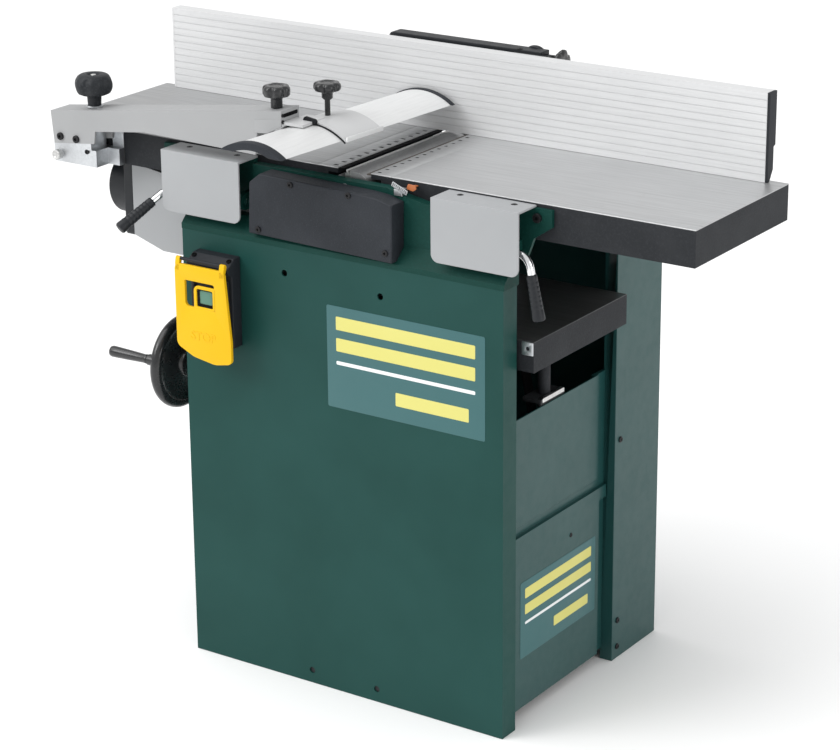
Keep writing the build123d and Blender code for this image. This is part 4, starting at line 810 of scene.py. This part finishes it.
def handwheel():
    """A dished disc with a round rim, the boss of its crank and the crank's turning handle."""
    middle, _, high = extent("handwheel")
    half_hub, rim_radius, rim_middle = 16, 9.0, 63
    hub = (high[0] - half_hub, middle[1], middle[2])
    web = [(-half_hub, 8.1), (-half_hub, 15.5), (-14.5, 18), (-10, 19), (-7, 23), (-4.6, 34),
           (-3.4, 50), (-4.2, 57), (-7.4, 60.4)]
    rim = [(rim_radius * math.cos(a), rim_middle + rim_radius * math.sin(a))
           for a in map(math.radians, range(196, -24, -14))]
    far_web = [(-along, radius) for along, radius in reversed(web)]
    turned("handwheel_disc", [*web, *rim, *far_web, web[0]], hub, (1, 0, 0), gloss_black,
           "handwheel", ("handwheel",), steps=144, angle=42)
    grip, grip_low, grip_high = extent("crank_grip")
    boss = [(0, 0), (0, 8.5), (13.6, 8.5), (14.2, 7.6), (14.2, 4.0), (16, 4.0), (16, 0)]
    turned("crank_boss", boss, (hub[0], grip[1], grip[2]), (-1, 0, 0), gloss_black,
           "handwheel")
    long = grip_high[0] - grip_low[0]
    handle = [(0, 0), (0, 5.6), (0.8, 6.6), (4, 7.2), (6, 7.0), (8, 6.7), (long * 0.5, 7.7),
              (long - 12, 8.4), (long - 5, 8.6), (long - 2, 8.0), (long - 0.4, 5.6),
              (long, 2.0), (long, 0)]
    turned("crank_handle", handle, (grip_high[0], grip[1], grip[2]), (-1, 0, 0), gloss_black,
           "crank_grip", ("crank_grip",), angle=50)


def lever_grip(name, node, body, side, forward, splay):
    """A tapered ribbed grip on a lock lever, its rod swung forward and splayed out (degrees)."""
    drop = Vector((0, -math.sin(math.radians(forward)), -math.cos(math.radians(forward))))
    out = Vector((side, 0, 0))
    lean = math.tan(math.radians(splay))
    end = LEVER_PIVOT + out * (LEVER_BEND + LEVER_DROP * lean) + drop * LEVER_DROP
    axis = (out * lean + drop).normalized()
    start = end - axis * GRIP_OVERLAP
    profile = [(0, 5.4), (0, 6.2), (1.0, 7.1), (3.0, 7.3)]
    ribs, pitch, groove = 7, 6.4, 0.45
    for i in range(ribs):
        at = 8 + i * pitch
        r = 7.3 + 1.7 * at / GRIP_LENGTH
        profile += [(at, r), (at + 0.8, r - groove), (at + 1.8, r - groove), (at + 2.6, r)]
    profile += [(GRIP_LENGTH - 4, 9.0), (GRIP_LENGTH - 1.4, 8.6), (GRIP_LENGTH - 0.2, 7.2),
                (GRIP_LENGTH, 5.0), (GRIP_LENGTH, 0)]
    turned(name, profile, start, axis, black, body, (node,), steps=64,
           angle=40)


handwheel()
lever_grip("infeed_grip", "infeed_lever_grip", "infeed_lever", 1, forward=0, splay=11.5)
lever_grip("outfeed_grip", "outfeed_lever_grip", "outfeed_lever", -1, forward=56, splay=21)

# ------------ screws in their places

FORWARD = (0, -1, 0)
SUNK = 0.2  # how far a screw head sits into its sheet
COVER_BOLTS = ((-71, 766), (28, 766), (-129, 692), (89, 693))  # (x, z) on the front cover
COLUMN_SCREW_HEIGHTS = (19, 62, 353, 560)
COLUMN_SCREW_INSET = 15  # from the column's front edge
DOOR_LOCK = (-16, 240)  # (y, z) on each door
LEVER_COVER_SCREWS = (27, 113)  # from the cover's left end
BRACKET_BOLT = (308, -183.8, 768)  # on the lug of the infeed table's bracket
ARM_PINS = ((-494.7, 775.6), (-464.3, 775.1))  # (x, z) on the arm's foot
ARM_PIN_SEAT = -222.2
THUMB_SCREW = (-502, -217.2, 747)  # on the guard's bracket
BRACKET_SCREW = (-449, -217.0, 757)


def panel_screws():
    """Bolts of the front cover, screws of the rear column and of the two doors."""
    _, cover_low, _ = extent("front_cover")
    for i, (x, z) in enumerate(COVER_BOLTS):
        socket_head(f"cover_bolt_{i}", (x, cover_low[1] + SUNK, z), FORWARD, 4.4, 2.6, "frame",
                    ("frame_fasteners",))
    _, column_low, column_high = extent("rear_column")
    _, _, door_high = extent("side_panels")
    for side in (-1, 1):
        face = side * (column_high[0] - SUNK)
        for z in COLUMN_SCREW_HEIGHTS:
            place = (face, column_low[1] + COLUMN_SCREW_INSET, z)
            cross_screw(f"column_screw_{side + 1}_{z}", place, (side, 0, 0), 4.6, 2.4, "frame")
        cross_screw(f"door_screw_{side + 1}", (side * (door_high[0] - SUNK), *DOOR_LOCK),
                    (side, 0, 0), 3.4, 1.4, "frame")


def lever_cover_screws():
    """Two screws in the bent top of each grey cover, 13.4 mm in from its back edge."""
    for node in ("infeed_lever_cover", "outfeed_lever_cover"):
        body = body_of(nodes[node])[0]
        _, low, high = extent(node)
        for i, along in enumerate(LEVER_COVER_SCREWS):
            cross_screw(f"{node}_screw_{i}", (low[0] + along, high[1] - 13.4, high[2] - 1.4), UP,
                        4.6, 1.5, body)


def bracket_hardware():
    """Bolt of the infeed bracket, pins of the guard arm and the knurled bracket screw."""

    def knurl(turn, along, radius):
        return 1 - 0.05 * (0.5 + 0.5 * math.cos(24 * turn)) if radius > 5 else 1

    socket_head("bracket_bolt", BRACKET_BOLT, FORWARD, 6.5, 4.5, "infeed_carrier")
    for i, (x, z) in enumerate(ARM_PINS):
        socket_head(f"arm_pin_{i}", (x, ARM_PIN_SEAT, z), FORWARD, 5.6, 3.2, "guard_arm")
    profile = [(0, 0), (0, 6.4), (1, 7.6), (9.6, 7.6), (11, 6.6), (11.4, 3.8), (10.8, 2.8),
               (10.8, 0)]
    turned("bracket_thumb_screw", profile, THUMB_SCREW, FORWARD, bright_steel, "outfeed_table",
           steps=144, shape=knurl, angle=20)


panel_screws()
lever_cover_screws()
bracket_hardware()

# ------------ switch

_, switch_low, switch_high = extent("switch_box")
_, flap_low, flap_high = extent("switch_flap")
HINGE_INSET = 5.0  # the flap's pin, from its front and its top
hinge_y, hinge_z = flap_low[1] + HINGE_INSET, flap_high[2] - HINGE_INSET
switch_face = switch_high[1] - 21  # the housing's front, behind the flap
flap_face, flap_back = flap_low[1] + 0.5, flap_low[1] + 3.1
start_middle, start_low, _ = extent("start_button")
stop_middle, _, _ = extent("stop_button")


def switch_housing():
    """A charcoal box with a sloped brow, two screws in the brow and a bezel round its face."""
    wall = switch_high[1]
    brow = switch_face - 9.5
    left, right = switch_low[0], switch_high[0]
    low, top = switch_low[2], switch_high[2]
    profile = rounded(
        [(wall, low), (switch_face, low), (switch_face, hinge_z - 22), (brow, hinge_z - 14),
         (brow, hinge_z - 8), (switch_face + 7, top - 1.5), (wall, top - 0.5)],
        [0, 3, 3, 2, 2, 2.5, 0], 4)
    side_slab("switch_housing", profile, left, right, charcoal, "frame", "black_plastic",
              ("switch_box",), edge=2.2)
    for i, x in enumerate((left + 6.5, right - 6.5)):
        cross_screw(f"switch_screw_{i}", (x, switch_face + 2.4, top - 4.2), (0, -6.5, 16.5),
                    4.0, 1.4, "frame", deep_black)
    bezel = rectangle(left + 5, right - 5, low + 1.8, hinge_z - 26, 6)
    inner = rectangle(left + 9, right - 9, low + 5.2, hinge_z - 30, 4)
    front_plate("switch_bezel", [bezel, inner], switch_face + 0.4, 2.6, black, "frame",
                "black_plastic", edge=0.6)


def switch_flap():
    """The yellow flap: sheet, rims, window, frame round the start button, lugs and pin."""
    look = (yellow, "switch_flap", "yellow_plastic")
    left, right = flap_low[0], flap_high[0]
    low, top = flap_low[2], flap_high[2]
    shell = [(left, top - 12), (left, low + 20), (left + 30, low + 6), (right - 30, low),
             (right, low + 6), (right, low + 40), (right - 10, top - 12)]
    outer = rounded(shell, [9, 12, 40, 30, 9, 12, 7], 8)
    x, _, z = start_middle
    window = rectangle(x - 33, x + 20, z - 14, z + 25, [7, 3, 3, 1.6])
    front_plate("flap_sheet", [outer, window], flap_back, flap_back - flap_face, *look,
                ("switch_flap",), edge=0.9)
    front_plate("flap_rim", [outer, shrunk(outer, 2.6)], flap_back + 2.6, 3.0, *look, edge=0.5)
    front_plate("flap_window_rim", [shrunk(window, -1.6), window], flap_back + 2.2, 2.6, *look,
                edge=0.4)
    frame_out = rectangle(x - 17, x + 22, z - 15, z + 20, [2, 2, 2, 9])
    frame_in = rectangle(x - 12, x + 17, z - 11.5, z + 15, 2.5)
    front_plate("flap_button_frame", [frame_out, frame_in], flap_back, 2.6, *look, edge=0.7)
    lug = rounded([(flap_face, top - 22), (flap_back, top - 22), (hinge_y + 3.2, hinge_z - 3),
                   (hinge_y + 3.2, hinge_z + 2.8), (hinge_y - 2.4, hinge_z + 2.8),
                   (flap_face, hinge_z - 6)], [0, 2, 3, 2.6, 2.6, 2], 5)
    for i, ends in enumerate(((left + 1.5, left + 9.0), (right - 18, right - 9.5))):
        side_slab(f"flap_lug_{i}", lug, *ends, *look, edge=0.6)
    start = switch_low[0] - 6
    long = switch_high[0] - start
    turned("flap_pin", [(0, 0), (0, 2.6), (long, 2.6), (long, 0)], (start, hinge_y, hinge_z),
           (1, 0, 0), charcoal, "frame", steps=24)


def start_cap():
    """The pale green cap that shows through the flap's window."""
    x, _, z = start_middle
    front_plate("start_cap", [rectangle(x - 9, x + 14, z - 8, z + 12, 2.6)], start_low[1] + 0.4,
                16.0, button_green, "start_button", "green_button", edge=1.2)


def flap_lettering():
    """The generic word on the flap, raised and centred over the stop button."""
    curve = bpy.data.curves.new("flap_stop", "FONT")
    curve.body = "STOP"
    curve.size = 19 * MM
    curve.extrude = 0.5 * MM
    curve.bevel_depth = 0.15 * MM
    curve.align_x = curve.align_y = "CENTER"
    place = (stop_middle[0] - 6, flap_face + 0.1, stop_middle[2] - 1)
    plane = tuple(Vector(v) for v in (place, *FRONT))
    from_curve("flap_stop", curve, plane, yellow, "switch_flap")


switch_housing()
switch_flap()
start_cap()
flap_lettering()

# ------------ fence


def part_of(name, node, keep, finish):
    """A piece with the shape of some of a node's solids, those whose faces pass the test."""
    mesh = nodes[node].data.copy()
    bm = bmesh.new()
    bm.from_mesh(mesh)
    away = [face for face in bm.faces if not keep(face.calc_center_median())]
    bmesh.ops.delete(bm, geom=away, context="FACES")
    bmesh.ops.remove_doubles(bm, verts=bm.verts, dist=0.00002)
    bm.to_mesh(mesh)
    bm.free()
    piece = put_down(name, mesh, finish, body_of(nodes[node])[0], (node,))
    round_edges(piece, 0.6)


part_of("fence_cap_left", "fence_end_caps", lambda p: p.x < 0, aluminium)
part_of("fence_cap_right", "fence_end_caps", lambda p: p.x > 0, cap_grey)

# ------------ guard, its holder and its arm

GUARD_ANGLE = math.radians(3.9)  # the guard lies a little askew to the cutterblock
GUARD_MIDDLE = (-53.0, -150.0)  # (x, y) on its centre line, where the arm holds it
GUARD_HALF_WIDTH = 52.5
ARM_SLOT = (858.0, 863.4)  # heights of the thin slot in the arm's tip
ARM_TIP_SCREWS = (861.5, 852.5)

_, cover_low, cover_high = extent("guard_cover")
guard_rise = cover_high[2] - cover_low[2]
guard_radius = (GUARD_HALF_WIDTH**2 + guard_rise**2) / (2 * guard_rise)
guard_along = Vector((math.sin(GUARD_ANGLE), math.cos(GUARD_ANGLE), 0))
guard_across = Vector((math.cos(GUARD_ANGLE), -math.sin(GUARD_ANGLE), 0))
guard_origin = Vector((*GUARD_MIDDLE, cover_high[2] - guard_radius))


def guard_plane(station):
    """The plane across the guard at a station along it; plates on it stand up forwards."""
    return guard_origin + guard_along * station, guard_across, UP


def holder_edge():
    """The dark edging round the holder's front rim, an arc about the guard's centre line."""
    front, back = -42.0, -40.1
    first, last, count = -34, 36.5, 28
    inner, outer = guard_radius + 0.35, guard_radius + 2.0
    angles = [math.radians(first + (last - first) * i / count) for i in range(count + 1)]
    loop = [(math.sin(a) * outer, math.cos(a) * outer) for a in angles]
    loop += [(math.sin(a) * inner, math.cos(a) * inner) for a in reversed(angles)]
    plate("holder_edge", [loop], guard_plane(back), back - front, foam, "guard_arm",
          "black_plastic", edge=0.1)


def holder_trim():
    """The skirt along the holder's low edge and the foam block on top of the guard."""
    x = math.sin(math.radians(36.0)) * (guard_radius + 4.4)
    rim = cover_low[2] - guard_origin.z
    skirt = rounded([(x - 0.6, rim - 1.0), (x + 1.6, rim - 1.0), (x + 1.6, rim + 7.0),
                     (x - 0.6, rim + 5.4)], 0.5, 3)
    plate("holder_skirt", [skirt], guard_plane(40), 80, satin, "guard_arm", "aluminium",
          edge=0.3)
    crest = guard_radius
    pad = rounded([(-15, crest + 5.6), (7, crest + 0.7), (9, crest + 5.8), (7, crest + 8.6),
                   (-11, crest + 10.6)], 1.2, 3)
    plate("holder_foam", [pad], guard_plane(-40.2), 5.5, foam, "guard_arm", "black_plastic",
          edge=0.8)


def arm_tip():
    """The thin slot, drawn as a black sheet of painted shade, the gusset and the two screws at
    the tip of the guard arm.
    """
    _, arm_low, arm_high = extent("guard_arm")
    tip = arm_high[0]
    # The slot's dark inside is a thin black sheet on the tip: painted shade.
    gap = rectangle(arm_low[1] + 6, arm_high[1] - 4, *ARM_SLOT, 1.6, 3)
    side_slab("arm_tip_slot_shade", gap, tip - 0.2, tip + 0.5, deep_black, "guard_arm",
              "black_plastic", edge=0.1)
    gusset = rounded([(-134, 850), (-134, 831), (-111, 833.5), (-104, 837.2), (-94, 842),
                      (tip, 845.6), (tip, 856)], [0, 2, 2, 2, 2, 1, 0], 4)
    front_plate("arm_gusset", [gusset], arm_low[1] + 2.4, 2.2, pale_grey, "guard_arm",
                "grey_paint", edge=0.5)
    for i, z in enumerate(ARM_TIP_SCREWS):
        socket_head(f"arm_tip_screw_{i}", (tip - 0.3, arm_low[1] + 3.8, z), (1, 0, 0), 2.6, 2.2,
                    "guard_arm")


holder_edge()
holder_trim()
arm_tip()

# ------------ bare labels on the panels

# Each bar is (left, low, right, high) in parts of the film's size, and its finish.
BARS = (
    (0.06, 0.77, 0.94, 0.90, label_bar),
    (0.06, 0.56, 0.94, 0.69, label_bar),
    (0.06, 0.43, 0.94, 0.465, label_line),
    (0.44, 0.15, 0.90, 0.28, label_bar),
)


def label(name, plane, width, height):
    """A film with generic bars and no lettering."""
    origin, across, along = (Vector(v) for v in plane)
    out = across.cross(along)
    film = rectangle(0, width, 0, height, 3)
    plate(name, [film], (origin, across, along), 0.35, sticker, "frame", "green_paint", edge=0.1)
    for i, (left, low, right, high, finish) in enumerate(BARS):
        bar = rectangle(left * width, right * width, low * height, high * height, 1.6, 3)
        plate(f"{name}_bar_{i}", [bar], (origin + out * 0.3, across, along), 0.25, finish,
              "frame", "yellow_plastic", edge=0.08)


_, panel_low, _ = extent("front_panel")
_, _, door_high = extent("side_panels")
label("front_label", ((-19, panel_low[1] - 0.05, 446), *FRONT), width=265, height=152)
label("door_label", ((door_high[0] + 0.05, -154, 96), *RIGHT), width=208, height=118)

# ------------ depth scale

SCALE_PLACE = Vector((80, -197.5, 781.0))
SCALE_LENGTH, SCALE_HEIGHT = 27, 7
MARKS, MARK_PITCH, MARK_WIDTH = 9, 2.8, 0.7


def depth_scale():
    """The leaning scale on its foot, its marks, and the pointer that rides the infeed table."""
    leaning = Vector((0.92, 0, -0.39)).normalized()
    sinking = Vector((0, 1, 0)).cross(leaning)
    x, y, z = SCALE_PLACE
    steel = (zinc, "frame", "bright_steel")
    strip = rectangle(0, SCALE_LENGTH, -SCALE_HEIGHT, 0, 0.8, 3)
    plate("depth_scale", [strip], (SCALE_PLACE, leaning, sinking), 1.2, *steel, edge=0.2)
    mark_place = SCALE_PLACE - Vector((0, 0.15, 0))
    for i in range(MARKS):
        left = 2 + i * MARK_PITCH
        tick = rectangle(left, left + MARK_WIDTH, -6.4, -3.4 if i % 4 else -1.0)
        plate(f"depth_mark_{i}", [tick], (mark_place, leaning, sinking), 0.3, socket_black,
              "frame", "dark_steel", edge=0.03)
    foot = rectangle(x + 4, x + 18, y + 0.3, y + 14.5, 1)
    top_plate("depth_scale_foot", [foot], z - 13, 9, *steel, edge=0.4)
    moving = (orange, "infeed_table", "yellow_plastic")
    arm = rectangle(x + 26, x + 32, y + 7.1, y + 20.3, 0.5)
    top_plate("depth_pointer_arm", [arm], z - 1, 1.6, *moving, edge=0.3)
    pointer = rounded([(x + 21, z - 3), (x + 32, z - 5), (x + 38, z - 1), (x + 35, z + 4),
                       (x + 24, z + 4.5)], 1.8, 4)
    front_plate("depth_pointer", [pointer], y + 7.5, 1.6, *moving, edge=0.4)


depth_scale()

# ------------ cutter throat

COMB_SLOTS, COMB_PITCH, COMB_HALF_WIDTH = 14, 18.5, 3.0


def lip_plate(node, body, near, far):
    """A lip with a comb of closed slots between two places on x, dark underneath."""
    middle, low, high = extent(node)
    loops = [rectangle(low[0], high[0], low[1], high[1])]
    for i in range(COMB_SLOTS):
        y = middle[1] + (i - (COMB_SLOTS - 1) / 2) * COMB_PITCH
        loops.append(rectangle(near, far, y - COMB_HALF_WIDTH, y + COMB_HALF_WIDTH, 1.2, 3))
    top_plate(f"{node}_plate", loops, low[2], high[2] - low[2], iron, body, "ground_iron",
              (node,), edge=0.3)
    shadow = rectangle(near - 1, far + 1, low[1] + 6, high[1] - 6)
    top_plate(f"{node}_plate_shadow", [shadow], low[2] + 0.2, 7.0, deep_black, body,
              "dark_steel", edge=0.1)


def throat_strips():
    """Painted shadow in the cutter throat: a dark strip beside the outfeed lip and a brown one
    beside the infeed lip.
    """
    _, low, high = extent("outfeed_lip")
    strip = rectangle(high[0] - 0.5, high[0] + 9, low[1] + 1, high[1] - 1)
    top_plate("throat_shadow_out", [strip], high[2] - 2.2, 1.4, deep_black, "outfeed_table",
              "dark_steel", edge=0.3)
    _, low, high = extent("infeed_lip")
    strip = rectangle(low[0] - 8, low[0] + 0.5, low[1] + 1, high[1] - 1)
    top_plate("throat_shadow_in", [strip], high[2] - 4.0, 2.0, brown_throat_shade, "infeed_table",
              "dark_steel", edge=0.4)


lip_plate("outfeed_lip", "outfeed_table", -38.5, -30.0)
lip_plate("infeed_lip", "infeed_table", 36.5, 43.0)
throat_strips()

# ------------ planer bed and lift


def bed_corner_plate():
    """The small plate with a hole on the bed's right front corner."""
    _, bed_low, bed_high = extent("thickness_table")
    x, z = bed_high[0] - 19, bed_high[2] - 20
    outline = rectangle(x, bed_high[0] - 0.6, z, bed_high[2] - 1, 1)
    radius, inset, points, step = 3, 9.5, 12, 0.524
    turns = [step * i for i in range(points)]
    hole = [(x + inset + radius * math.cos(t), z + inset + radius * math.sin(t)) for t in turns]
    front_plate("bed_corner_plate", [outline, hole], bed_low[1] + 0.2, 1.4, zinc,
                "thickness_table", "bright_steel", edge=0.3)


def lift_bracket_edge():
    """The bare edge of the right lift bracket, seen under the bed."""
    _, _, high = extent("lift_brackets")
    outline = rectangle(high[1] - 60, high[1] - 2, high[2] - 5, high[2] + 1.6, 1.2, 3)
    side_slab("lift_bracket_edge", outline, high[0] - 5, high[0] + 0.8, bright_steel, "frame",
              "bright_steel", edge=0.5)


bed_corner_plate()
lift_bracket_edge()

# ------------ guard behind the fence


def fence_guard_hub():
    """The hub that carries the bar behind the fence, and the screw in the bar's end."""
    _, bar_low, bar_high = extent("rear_guard")
    radius, clear_of_tilt_knob = 22, 23.5
    place = (bar_high[0] - clear_of_tilt_knob, bar_high[1] - 4, cad_high[2] / MM - radius)
    hub = [(0, 0), (0, 20), (1.4, 21.4), (5, 21.9), (7, 21.4), (8, 19), (8, 9), (10, 8), (10, 0)]
    turned("guard_hub", hub, place, (0, 1, 0), black, "fence", angle=40)
    socket_head("hub_screw", (bar_high[0] - 38, bar_low[1] + 3, bar_high[2] - 0.6), UP, 4.2, 1.6,
                "fence")


fence_guard_hub()
socket_head("bracket_screw", BRACKET_SCREW, FORWARD, 3.6, 2.4, "outfeed_table")
